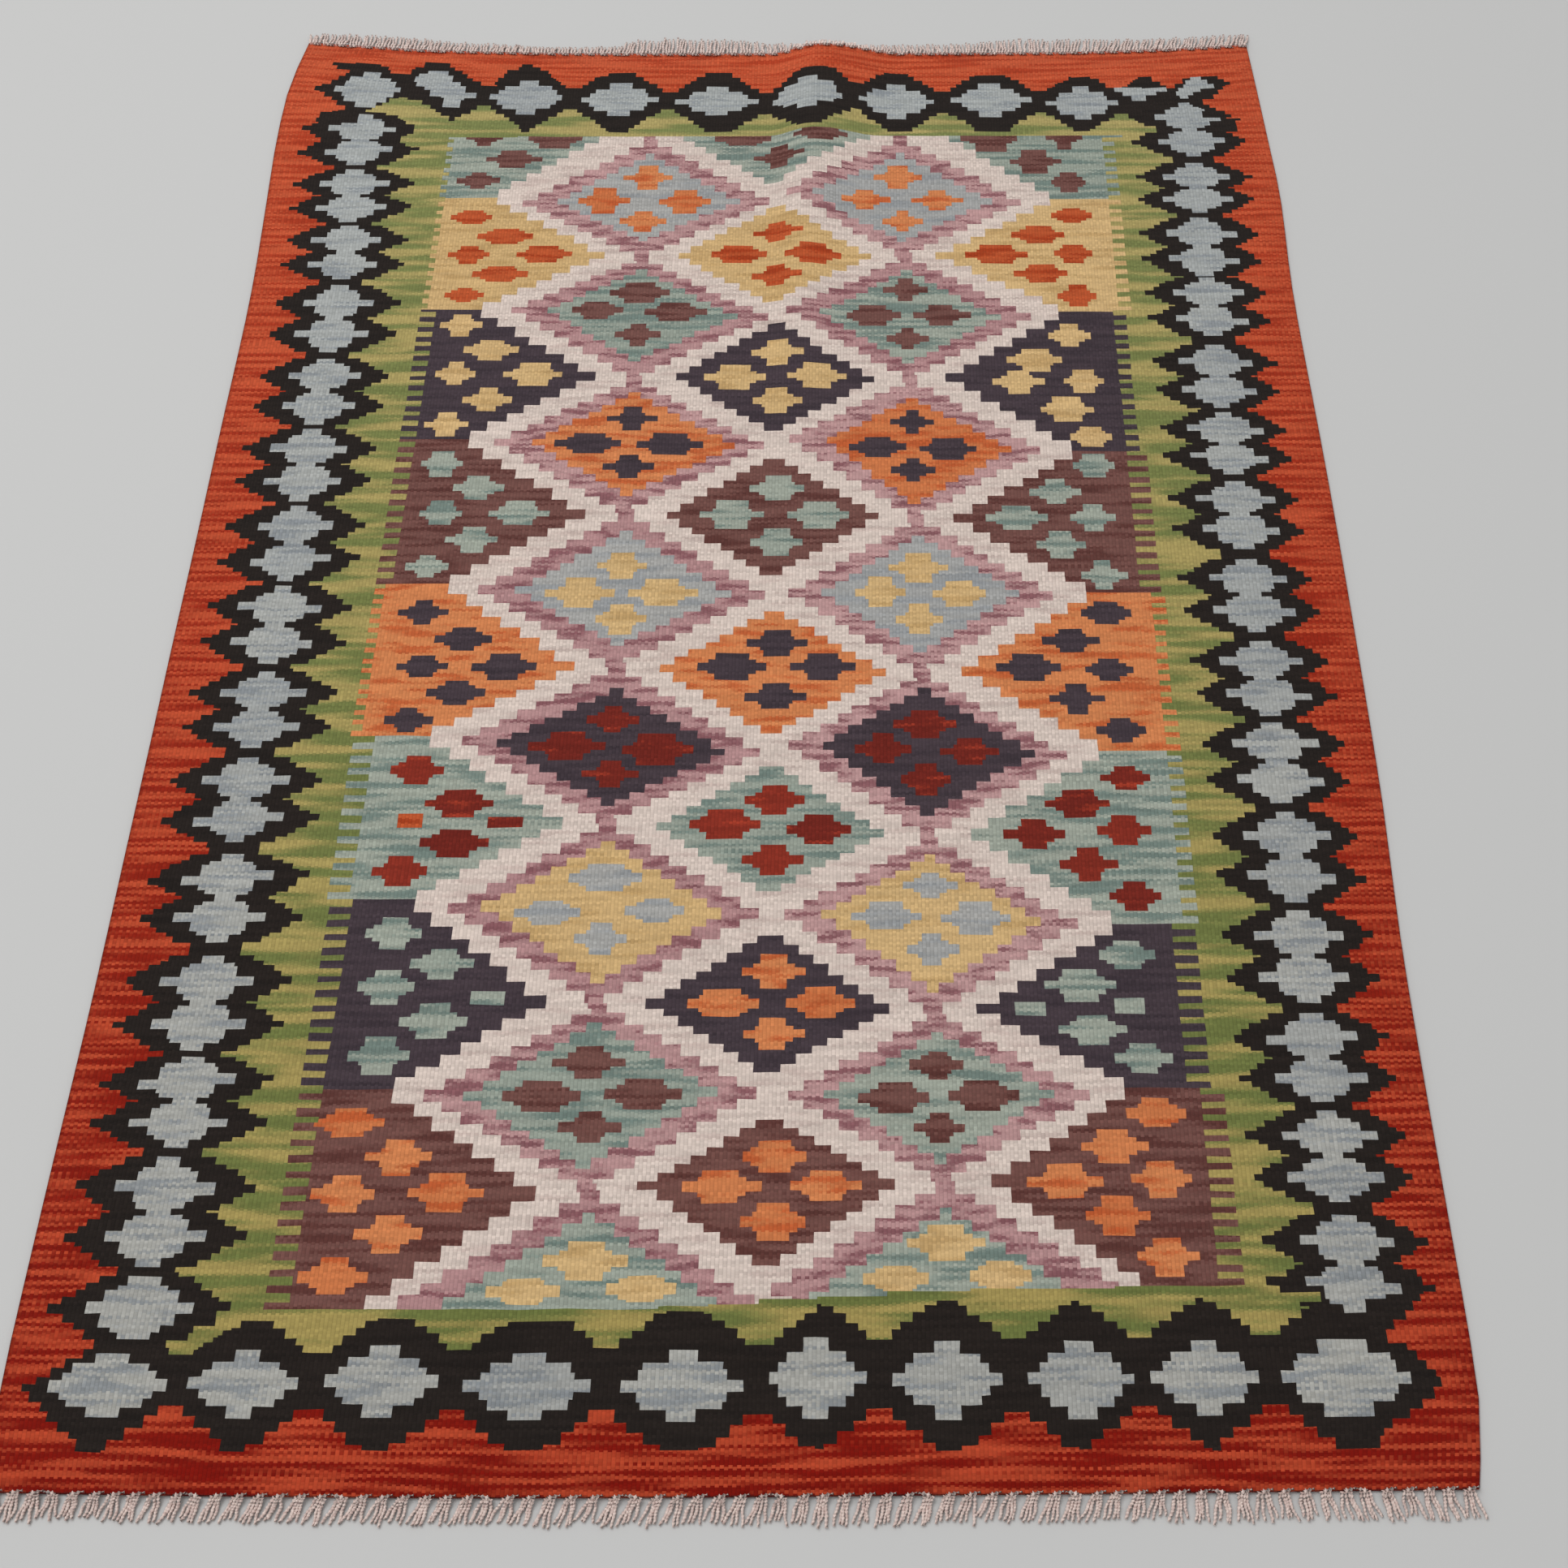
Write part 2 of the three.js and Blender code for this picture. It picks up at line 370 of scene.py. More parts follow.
@dataclass
class Chart:
    """The weaver's chart: one cell for each warp and row, holding its yarn and its dye lot."""

    lie: ClothLie
    warps: int = 345
    rows: int = 900
    straight: float = 45  # a box wider than this follows the cloth's lie
    overlap: float = 1  # how far over its middle each half of such a box reaches
    drawn_about: tuple = (592, 1805)  # the tables' places are drawn in a little about this point,
    drawn_in: float = 0.9975  # because they are of the cloth's upper face, over the floor
    red: int = 0  # the lot of all the border's red, and of all its green
    green: int = 1
    lots: int = field(default=1, init=False)
    window: tuple = field(default=WHOLE_CLOTH, init=False)  # nothing is woven outside it

    def __post_init__(self) -> None:
        """Starts with the border's red everywhere."""
        self.yarn = np.full((self.rows, self.warps), Yarn.RED.value, np.int16)
        self.lot = np.zeros((self.rows, self.warps), np.int32)
        self.warp_pitch = self.lie.width / self.warps
        self.row_pitch = self.lie.length / self.rows

    def fresh_lot(self) -> int:
        """Starts another dye lot, so that its streaks fall elsewhere."""
        self.lots += 1
        return self.lots

    def fill(self, x0: float, x1: float, y0: float, y1: float, yarn: Yarn, lot: int | None = None) -> None:
        """Weaves a box, given by its place on the floor.

        Args:
            x0: one side.
            x1: the other side.
            y0: one end.
            y1: the other end.
            yarn: its wool.
            lot: its dye lot, or None for one of its own.
        """
        x0, x1, y0, y1 = *sorted((x0, x1)), *sorted((y0, y1))
        x0, x1 = max(x0, self.window[0]), min(x1, self.window[1])
        y0, y1 = max(y0, self.window[2]), min(y1, self.window[3])
        if x0 >= x1 or y0 >= y1:
            return
        lot = self.fresh_lot() if lot is None else lot
        if x1 - x0 > self.straight or y1 - y0 > self.straight:
            x, y, over = (x0 + x1) / 2, (y0 + y1) / 2, self.overlap
            halves = ((x0, x + over, y0, y1), (x - over, x1, y0, y1)) if x1 - x0 > y1 - y0 \
                else ((x0, x1, y0, y + over), (x0, x1, y - over, y1))
            for half in halves:
                self.fill(*half, yarn, lot)
            return
        about_x, about_y = self.drawn_about
        x0, x1 = (about_x + (x - about_x) * self.drawn_in for x in (x0, x1))
        y0, y1 = (about_y + (y - about_y) * self.drawn_in for y in (y0, y1))
        x, y = (x0 + x1) / 2, (y0 + y1) / 2
        left, far = self.lie.unlay(x, y)
        c0 = max(round((x0 - x + left) / self.warp_pitch), 0)
        c1 = min(round((x1 - x + left) / self.warp_pitch), self.warps)
        r0 = max(round((y0 - y + far) / self.row_pitch), 0)
        r1 = min(round((y1 - y + far) / self.row_pitch), self.rows)
        self.yarn[r0:r1, c0:c1] = yarn.value
        self.lot[r0:r1, c0:c1] = lot

    def around(self, x: float, y: float, reach: float, rise: float, yarn: Yarn, lot: int) -> None:
        """Weaves a box about its middle.

        Args:
            x: its middle across the rug.
            y: its middle along the rug.
            reach: half its width.
            rise: half its height.
            yarn: its wool.
            lot: its dye lot.
        """
        self.fill(x - reach, x + reach, y - rise, y + rise, yarn, lot)


class Step(NamedTuple):
    """One step of a stepped shape: how far it reaches along the rug and across it."""

    rise: float
    reach: float


class Lobe(NamedTuple):
    """A grey lobe of an end border: its middle, half widths, half height, and how low its arms are."""

    x: float
    y: float
    arm: float
    body: float
    cap: float
    tall: float
    drop: float = 0


class SideLobe(NamedTuple):
    """A grey lobe of a side border: its middle, and how much its right arm is nearer than its left."""

    y: float
    x: float
    tilt: float


class Cross(NamedTuple):
    """A small cross: its middle, its body's width and height, and its arms from tip to tip."""

    x: float
    y: float
    wide: float
    tall: float
    reach: float


class Ground(NamedTuple):
    """A coloured ground with crosses on it. The tips are (x, y) of its corners at the sides."""

    yarn: Yarn
    crosses_in: Yarn
    top: float
    bottom: float
    tips: tuple[tuple[float, float], ...]
    crosses: tuple[Cross, ...]


@dataclass
class Border:
    """The border: red outside, green inside, and a black zigzag band with grey lobes between."""

    chart: Chart
    side_lobe: tuple[Step, ...] = (Step(22.5, 8.2), Step(15.7, 16.5), Step(12, 21), Step(4.2, 34))
    side_black: tuple[Step, ...] = (
        Step(26.5, 20.5), Step(22.5, 31), Step(17.5, 37), Step(13, 44), Step(8, 50), Step(3.3, 57),
    )
    usual_gap: float = 37  # between the lobes of a side pair
    left_tips: tuple = (3, 4)  # how much further the black tips reach there, outward and inward
    right_tips: tuple = (-1, 3)
    left_widens: float = 0.075  # how much wider its lobes are at the near end, as a share,
    widens_from: float = 400  # and where they start to widen, and over what length
    widens_over: float = 900
    left_lobes: tuple = (  # each row a SideLobe, from the far end, in pairs
        (133, 71.5, 2), (167, 72, -5), (217, 74.5, 0), (252, 76, -2),
        (299, 79, 0), (334, 80, 0), (387, 82.5, 0), (428, 82.5, 0),
        (483, 83, 0), (521, 83, 0), (574, 83, 2), (613, 83, 0),
        (666, 84, -1), (705, 84.5, -5), (757, 84.5, 3), (795, 84, 3),
        (848, 84.5, 0), (883, 84.5, 0), (936, 84.5, 0), (973, 85, -4),
        (1028, 85.5, -6), (1064, 86, 0), (1119, 85.5, 0), (1156, 85, 0),
        (1203, 85, -5), (1236, 85, 0), (1286, 84, 3), (1323, 83.5, -1),
    )
    right_lobes: tuple = (
        (119, 926, 2.5), (156, 927, -2), (210, 927, 0), (243, 926.5, 0),
        (293, 924.5, 2.5), (330, 923.5, 5), (376, 924, 0), (412, 923, 5),
        (468, 922.5, 4.5), (504, 922.5, 4), (553, 923, 4.5), (587, 924, 5.5),
        (637, 924.5, 2.5), (673, 925, 4.5), (728, 925.5, 2.5), (764, 927, 2.5),
        (817, 928, 1.5), (852, 929.5, 4), (902, 929.5, 0), (938, 929.5, 2.5),
        (991, 929.5, 0), (1029, 929.5, 4.5), (1081, 929, 0), (1118, 928.5, 0),
        (1169, 928.5, -3), (1202, 929.5, 0), (1248, 931, 0), (1280, 931.5, 0),
        (1328, 933, 2), (1360, 933.5, 6),
    )
    # Each corner's steps: the wool, then boxes of x0, x1, y0, y1, laid in this order.
    corner_steps: tuple = (
        (Yarn.RED, (8, 62, 18, 104), (62, 112, 18, 47)),
        (Yarn.BLACK, (27, 78, 29, 34), (33, 88, 33, 39), (48, 88, 38, 60), (88, 112, 47, 60),
         (44, 64, 46, 51), (38, 64, 50, 57), (30, 64, 57, 64), (22, 64, 64, 67), (13, 64, 67, 72.5),
         (20, 64, 72.5, 77), (27, 64, 77, 84), (35, 64, 84, 90), (42, 64, 90, 96), (50, 64, 96, 106),
         (43, 64, 104, 110), (33, 64, 110, 116), (24, 64, 116, 124)),
        (Yarn.GREEN, (103, 113, 84, 89), (100, 127, 88, 95), (90, 135, 95, 103), (100, 142, 103, 108),
         (107, 150, 108, 113), (113, 157, 113, 119), (119, 160, 119, 127), (126, 172, 127, 141),
         (880, 893, 133, 142)),
        (Yarn.RED, (944, 990, 40, 118), (786, 975, 36, 54), (845, 862, 40, 72), (862, 870, 40, 66),
         (870, 876, 40, 60), (893, 901, 40, 61), (901, 918, 40, 67), (908, 918, 60, 73),
         (918, 926, 40, 66), (926, 938, 40, 57), (785, 793, 50, 70), (793, 800, 50, 64),
         (800, 807, 50, 60), (830, 838, 50, 58), (838, 845, 50, 64)),
        (Yarn.BLACK, (938, 964, 53, 64), (944, 970, 58, 70), (944, 976, 63, 69), (944, 968, 69, 76),
         (940, 962, 76, 83), (940, 955, 83, 90), (930, 946, 88, 98), (940, 952, 98, 104),
         (944, 958, 103, 108), (944, 965, 108, 114), (944, 972, 114, 119)),
        (Yarn.RED, (8, 60, 1379, 1440), (8, 57, 1438, 1478)),
        (Yarn.BLACK, (20, 60, 1374, 1379), (29, 62, 1379, 1385), (38, 62, 1385, 1390),
         (48, 62, 1390, 1397), (58, 64, 1397, 1404), (50, 62, 1404, 1410), (40, 62, 1410, 1417),
         (30, 62, 1417, 1424), (22, 62, 1424, 1428), (14, 62, 1428, 1434), (20, 62, 1434, 1440),
         (27, 62, 1440, 1447), (33, 62, 1447, 1453), (42, 62, 1453, 1460), (51, 62, 1460, 1465)),
        (Yarn.GREEN, (139, 156, 1384, 1389), (126, 145, 1388, 1394), (120, 139, 1392, 1399),
         (112, 128, 1397, 1405), (872, 907, 1366, 1372)),
        (Yarn.BLACK, (128, 139, 1376, 1388), (112, 120, 1388, 1397)),
        (Yarn.RED, (952, 992, 1372, 1440), (939, 992, 1440, 1478)),
        (Yarn.BLACK, (940, 972, 1370, 1378), (940, 965, 1378, 1385), (940, 958, 1385, 1392),
         (940, 963, 1401, 1407), (940, 970, 1407, 1413), (940, 976, 1413, 1420), (940, 981, 1420, 1424),
         (940, 986, 1424, 1432), (940, 978, 1432, 1440), (930, 968, 1440, 1447), (930, 958, 1447, 1453),
         (930, 948, 1453, 1459), (930, 939, 1459, 1464)),
        (Yarn.STONE, (118, 126, 51, 60), (120, 132, 46, 66), (131, 152, 42, 72), (146, 158, 50, 80),
         (137, 166, 60, 82), (152, 172, 66, 88), (148, 184, 77, 84), (152, 170, 84, 99),
         (853, 908, 72, 78), (862, 896, 74, 84), (870, 886, 80, 92), (935, 945, 54, 61),
         (929, 952, 60, 67), (925, 958, 66, 72), (920, 944, 71, 78), (918, 936, 77, 84),
         (922, 931, 83, 89)),
    )
    last_lobe_at: tuple = (83, 1375)  # the single lobe at the near left corner
    last_lobe: tuple[Step, ...] = (Step(22, 11.5), Step(16.5, 17), Step(13, 25.5), Step(4.4, 38.5))
    last_black_wide: float = 1.05
    far_lobes: tuple = (  # each row a Lobe
        (70, 71, 33, 20, 9, 27), (238, 84, 38, 24.5, 10.5, 27.5), (335, 88.5, 40, 25.5, 12, 26.5),
        (438, 91.5, 43, 26, 11, 23.5), (532, 90, 36, 26, 11, 25, 5), (625, 93, 38.5, 25, 9.5, 27.5),
        (723, 90.5, 43, 25.5, 11.5, 27.5), (818, 96, 38, 22.5, 9, 26),
    )
    far_notches: tuple = (  # x, and the tips of the red and the green wedge
        (101, 43, 87), (195, 65, 98), (285, 70, 103), (387, 76, 104),
        (488, 78, 112), (582, 71, 111), (673, 77, 110), (774, 77, 110),
        (858, 70, 113),
    )
    # How far the far band's black reaches between two notches, x0, x1 and y: first before they
    # are cut, and then, over one lobe that is rounder, after.
    far_peaks: tuple = (
        (27, 76, 26), (112, 249, 36), (124, 152, 28), (322, 351, 45), (422, 453, 46), (611, 638, 47),
        (955, 975, 52),
    )
    far_dome: tuple = (
        (227, 241, 31), (225, 249, 35), (213, 256, 40), (211, 260, 46), (206, 267, 53), (201, 273, 59),
    )
    near_lobes: tuple = (
        (71, 1429, 40.5, 27, 12.5, 22), (164, 1428, 37.5, 23.5, 9.5, 23),
        (259, 1427, 39.5, 25, 10.5, 24), (359, 1430, 43, 27.5, 11, 23),
        (465, 1430, 42.5, 26.5, 11, 24), (557, 1425, 33, 20.5, 9, 28),
        (647, 1426, 38, 24, 9.5, 26.5), (738, 1426, 36, 23, 10, 27),
        (823, 1425, 36.5, 23.5, 9, 26), (920, 1425, 44.5, 30, 15, 26),
    )
    near_notches: tuple = (
        (118, 1443, 1408), (212, 1446, 1407), (309, 1446, 1405), (412, 1447, 1403),
        (517, 1449, 1402), (600, 1446, 1397), (694, 1448, 1398), (780, 1444, 1397),
        (868, 1443, 1395),
    )
    # How far back the near band's black reaches between two notches: x0, x1, y.
    near_peaks: tuple = (
        (26, 212, 1385), (212, 309, 1384), (309, 412, 1385), (412, 517, 1378), (517, 600, 1371),
        (600, 694, 1371), (694, 780, 1371), (780, 868, 1369), (868, 985, 1376),
    )
    far_peak_end: float = 60
    far_dome_end: float = 65
    near_peak_end: float = 1473
    # The wedges: a step's height, below nought if it widens towards the far end, and the widths from the tip.
    far_red: tuple = (-6, (17, 30, 42, 56, 71))
    far_green: tuple = (6, (13, 27, 43, 55, 66, 78, 86))
    near_red: tuple = (7.6, (18, 36, 56, 78))
    near_green: tuple = (-5.8, (18, 31, 48, 64, 80, 90))
    # The plain boxes under them all: x0, x1, y0, y1.
    green_ground: tuple = (84, 928, 84, 1427)
    far_black: tuple = (27, 975, 50, 140)
    far_strip: tuple = (110, 890, 140, 160)
    near_strip: tuple = (150, 870, 1360, 1386)
    # An end lobe's two middle steps: its height as a share, and how far they reach past its body.
    lobe_middle: tuple = ((0.66, 0), (0.42, 5))
    lobe_arm: float = 4

    def weave(self) -> None:
        """Weaves the border."""
        self.chart.fill(*self.green_ground, Yarn.GREEN, self.chart.green)
        self.far_band()
        self.near_band()
        self.side(self.left_lobes, self.left_tips, outward=-1, widen=self.left_widens)
        self.side(self.right_lobes, self.right_tips, outward=1, widen=0)
        self.corners()
        for row in (*self.far_lobes, *self.near_lobes):
            self.end_lobe(Lobe(*row))

    def wedges(self, notches: Sequence[tuple], red: tuple, green: tuple) -> None:
        """Weaves the stepped wedges that cut into an end's black band.

        Args:
            notches: x, and the tips of the red and the green wedge, between every two lobes.
            red: a red wedge's step height and its widths from the tip.
            green: the same of a green wedge.
        """
        kinds = ((*red, Yarn.RED, self.chart.red), (*green, Yarn.GREEN, self.chart.green))
        for x, *tips in notches:
            for tip, (row, widths, yarn, lot) in zip(tips, kinds):
                end = tip + row * len(widths)
                for i, width in enumerate(widths):
                    self.chart.fill(x - width / 2, x + width / 2, tip + row * i, end, yarn, lot)

    def far_band(self) -> None:
        """Weaves the far end's black band and the wedges that cut into it."""
        black = self.chart.fresh_lot()
        self.chart.fill(*self.far_black, Yarn.BLACK, black)
        for x0, x1, top in self.far_peaks:
            self.chart.fill(x0, x1, top, self.far_peak_end, Yarn.BLACK, black)
        self.wedges(self.far_notches, self.far_red, self.far_green)
        for x0, x1, top in self.far_dome:
            self.chart.fill(x0, x1, top, self.far_dome_end, Yarn.BLACK, black)
        self.chart.fill(*self.far_strip, Yarn.GREEN, self.chart.green)

    def near_band(self) -> None:
        """Weaves the near end's black band and the wedges that cut into it."""
        black = self.chart.fresh_lot()
        self.chart.fill(*self.near_strip, Yarn.GREEN, self.chart.green)
        for x0, x1, top in self.near_peaks:
            self.chart.fill(x0, x1, top, self.near_peak_end, Yarn.BLACK, black)
        self.wedges(self.near_notches, self.near_red, self.near_green)

    def black_reach(self, step: Step, tips: Sequence[float], wide: float) -> list[float]:
        """Gives how far a step of the black reaches about a side lobe.

        Args:
            step: the step.
            tips: how much further the tips reach there, outward and inward.
            wide: how much wider the step is, as a share.

        Returns:
            Its reach outward and inward.
        """
        first, last = self.side_black[0].reach, self.side_black[-1].reach
        share = (step.reach - first) / (last - first)
        return [(step.reach + tip * share) * wide for tip in tips]

    def side(self, rows: Sequence[tuple], tips: Sequence[float], outward: int,
             widen: float) -> None:
        """Weaves one side's band and its pairs of lobes.

        Args:
            rows: the lobes, from the far end, in pairs.
            tips: how much further the black tips reach there, outward and inward.
            outward: -1 for the left side, 1 for the right.
            widen: how much wider the lobes are at the near end, as a share.
        """
        black = self.chart.fresh_lot()
        lobes = [SideLobe(*row) for row in rows]
        first, last = self.side_black[0], self.side_black[-1]
        for above, below in zip(lobes[1::2], lobes[2::2]):
            x = (above.x + below.x) / 2
            self.chart.fill(x - first.reach, x + first.reach, above.y, below.y, Yarn.BLACK, black)
        placed = []
        for pair in zip(lobes[::2], lobes[1::2]):
            grow = (pair[1].y - pair[0].y) / self.usual_gap
            along = [min(max((lobe.y - self.widens_from) / self.widens_over, 0), 1) for lobe in pair]
            placed.append((grow, [(lobe, 1 + widen * share) for lobe, share in zip(pair, along)]))
        for grow, pair in placed:
            for lobe, wide in pair:
                for step in self.side_black:
                    out, into = self.black_reach(step, tips, 1 if step is first else wide)
                    slant = -outward * lobe.tilt / 2 if step is last else 0
                    rise = step.rise * grow
                    for reach, way, y in ((out, outward, lobe.y - slant), (into, -outward, lobe.y + slant)):
                        self.chart.fill(lobe.x, lobe.x + way * reach, y - rise, y + rise, Yarn.BLACK, black)
        *body, arm = self.side_lobe
        for grow, pair in placed:
            lot = self.chart.fresh_lot()
            for lobe, wide in pair:
                for step in body:
                    self.chart.around(lobe.x, lobe.y, step.reach * wide, step.rise * grow, Yarn.STONE, lot)
                for way in (-1, 1):
                    y, rise = lobe.y + way * lobe.tilt / 2, arm.rise * grow
                    end = lobe.x + way * arm.reach * wide
                    self.chart.fill(lobe.x, end, y - rise, y + rise, Yarn.STONE, lot)

    def end_lobe(self, lobe: Lobe) -> None:
        """Weaves one grey lobe of an end border.

        Args:
            lobe: its place and sizes.
        """
        lot = self.chart.fresh_lot()
        self.chart.around(lobe.x, lobe.y, lobe.cap, lobe.tall, Yarn.STONE, lot)
        for share, past in self.lobe_middle:
            self.chart.around(lobe.x, lobe.y, lobe.body + past, lobe.tall * share, Yarn.STONE, lot)
        self.chart.around(lobe.x, lobe.y + lobe.drop, lobe.arm, self.lobe_arm, Yarn.STONE, lot)

    def corners(self) -> None:
        """Weaves the corners, where the weaver ran out of room."""
        stone, black = self.chart.fresh_lot(), self.chart.fresh_lot()
        lots = {Yarn.RED: self.chart.red, Yarn.GREEN: self.chart.green, Yarn.BLACK: black, Yarn.STONE: stone}
        x, y = self.last_lobe_at
        for step in self.side_black:
            out, into = self.black_reach(step, self.left_tips, self.last_black_wide)
            self.chart.fill(x - out, x + into, y - step.rise, y + step.rise, Yarn.BLACK, black)
        for yarn, *boxes in self.corner_steps:
            for box in boxes:
                self.chart.fill(*box, yarn, lots[yarn])
        for step in self.last_lobe:
            self.chart.around(x, y, step.reach, step.rise, Yarn.STONE, stone)


def dyed(wools: Sequence[tuple[Yarn, Yarn]], rows: Sequence[tuple]) -> tuple[Ground, ...]:
    """Gives each row of a table of grounds its wools.

    Args:
        wools: each ground's wool and its crosses' wool.
        rows: each ground's far and near ends, its one or two corners, and its crosses.

    Returns:
        The grounds.
    """
    return tuple(
        Ground(*pair, top, bottom, tuple(tips), tuple(Cross(*cross) for cross in crosses))
        for pair, (top, bottom, *tips, crosses) in zip(wools, rows)
    )


COLUMN_WOOLS = (
    (Yarn.SKY, Yarn.ORANGE), (Yarn.TEAL, Yarn.MAROON), (Yarn.ORANGE, Yarn.NAVY), (Yarn.SKY, Yarn.STRAW),
    (Yarn.NAVY, Yarn.OXBLOOD), (Yarn.STRAW, Yarn.SKY), (Yarn.TEAL, Yarn.MAROON), (Yarn.TEAL, Yarn.STRAW),
)
SIDE_WOOLS = (
    (Yarn.TEAL, Yarn.MAROON), (Yarn.STRAW, Yarn.SCARLET), (Yarn.NAVY, Yarn.STRAW), (Yarn.MAROON, Yarn.TEAL),
    (Yarn.ORANGE, Yarn.NAVY), (Yarn.TEAL, Yarn.OXBLOOD), (Yarn.NAVY, Yarn.TEAL), (Yarn.MAROON, Yarn.ORANGE),
)
CENTRE_WOOLS = (*SIDE_WOOLS[:6], (Yarn.NAVY, Yarn.ORANGE), SIDE_WOOLS[7])


@dataclass
class Field:
    """The field: two columns of pink diamonds on cream, grounds between them and at each side."""

    chart: Chart
    far: float = 147
    near_bands: tuple = (
        (150, 445, 1376), (440, 480, 1374.5), (475, 515, 1372), (510, 555, 1369.5), (550, 605, 1367),
        (600, 665, 1364.5), (660, 765, 1362.5), (760, 870, 1361),
    )
    near: float = 1377
    left: float = 163
    right: float = 857
    ground_steps: int = 7  # on each slope of a ground, and of a pink diamond
    pink_steps: int = 8
    centre_core: float = 9.5  # half width of a centre ground's ends, and of one in a column
    column_core: float = 5
    neck: float = 6.7  # half width of the pink neck between two diamonds
    neck_reach: float = 5
    whole: int = 4  # crosses on a whole ground in a column
    cross_arm: float = 7.6  # height of a cross's arms
    shoulder: float = 4.5  # how far a cross's shoulder reaches past its body at most
    shoulder_rise: float = 3.4  # and over its arms
    tick: float = 0.5  # share of a comb's pitch that is green
    comb_edge: float = 6  # how far out over the border the left combs start
    left_columns: tuple[Ground, ...] = dyed(COLUMN_WOOLS, (
        (173, 302, (283, 245), (465, 245), (
            (372, 209, 20, 37, 50), (329, 243, 24, 37, 53), (411, 245, 24, 34, 52),
            (371, 273, 19, 30, 45))),
        (342, 465, (285, 397), (468, 407), (
            (373, 374, 30, 28, 60), (333, 397, 23, 23, 50), (409, 400, 30, 25, 60),
            (374, 430, 15, 30, 43))),
        (505, 632, (285, 567), (473, 572), (
            (376, 538, 16, 30, 48), (338, 569, 30, 26, 62), (413, 570, 30, 26, 59),
            (376, 597, 16, 29, 45))),
        (672, 800, (287, 739), (474, 744), (
            (378, 712, 18, 30, 45), (343, 742, 27, 34, 60), (415, 742, 30, 30, 60),
            (380, 771, 20, 33, 44))),
        (845, 962, (286, 899), (476, 909), (
            (381, 876, 16, 27, 44), (345, 903, 30, 29, 63), (419, 906, 32, 31, 59),
            (382, 930, 16, 27, 44))),
        (994, 1122, (290, 1054), (479, 1061), (
            (385, 1029, 30, 24, 60), (342, 1060, 23, 22, 51), (426, 1058, 20, 22, 48),
            (385, 1083, 15, 27, 43))),
        (1155, 1273, (293, 1215), (480, 1212), (
            (383, 1188, 22, 26, 54), (350, 1216, 30, 25, 60), (425, 1214, 29, 25, 59),
            (388, 1240, 15, 24, 46))),
        (1306, 1438, (296, 1372), (486, 1372), (
            (392, 1342, 27, 27, 59), (350, 1364, 21, 19, 50), (433, 1362, 23, 17, 50))),
    ))
    right_columns: tuple[Ground, ...] = dyed(COLUMN_WOOLS, (
        (173, 304, (540, 240), (719, 246), (
            (625, 210, 20, 34, 48), (592, 243, 18, 27, 49), (664, 244, 20, 29, 52),
            (629, 274, 13, 30, 40))),
        (343, 469, (548, 402), (721, 409), (
            (631, 370, 14, 31, 42), (599, 405, 27, 29, 52), (665, 405, 23, 27, 54),
            (632, 436, 12, 28, 39))),
        (513, 643, (556, 565), (726, 577), (
            (635, 543, 13, 29, 41), (603, 574, 24, 25, 50), (667, 576, 27, 27, 54),
            (635, 602, 12, 29, 38))),
        (678, 808, (554, 743), (724, 744), (
            (638, 715, 24, 32, 51), (604, 742, 19, 34, 42), (673, 744, 23, 29, 48),
            (638, 772, 15, 33, 39))),
        (845, 971, (555, 902), (730, 911), (
            (641, 881, 25, 28, 52), (606, 906, 19, 30, 46), (677, 909, 20, 26, 50),
            (641, 936, 18, 31, 41))),
        (1008, 1130, (555, 1062), (729, 1068), (
            (642, 1036, 16, 23, 41), (608, 1064, 27, 25, 55), (677, 1066, 27, 30, 53),
            (643, 1093, 14, 28, 39))),
        (1164, 1269, (560, 1215), (730, 1214), (
            (644, 1191, 15, 23, 41), (612, 1217, 26, 24, 51), (678, 1216, 27, 25, 54),
            (645, 1241, 14, 23, 40))),
        (1303, 1431, (552, 1368), (742, 1368), (
            (648, 1329, 26, 26, 54), (612, 1355, 21, 18, 46), (686, 1353, 22, 20, 45))),
    ))
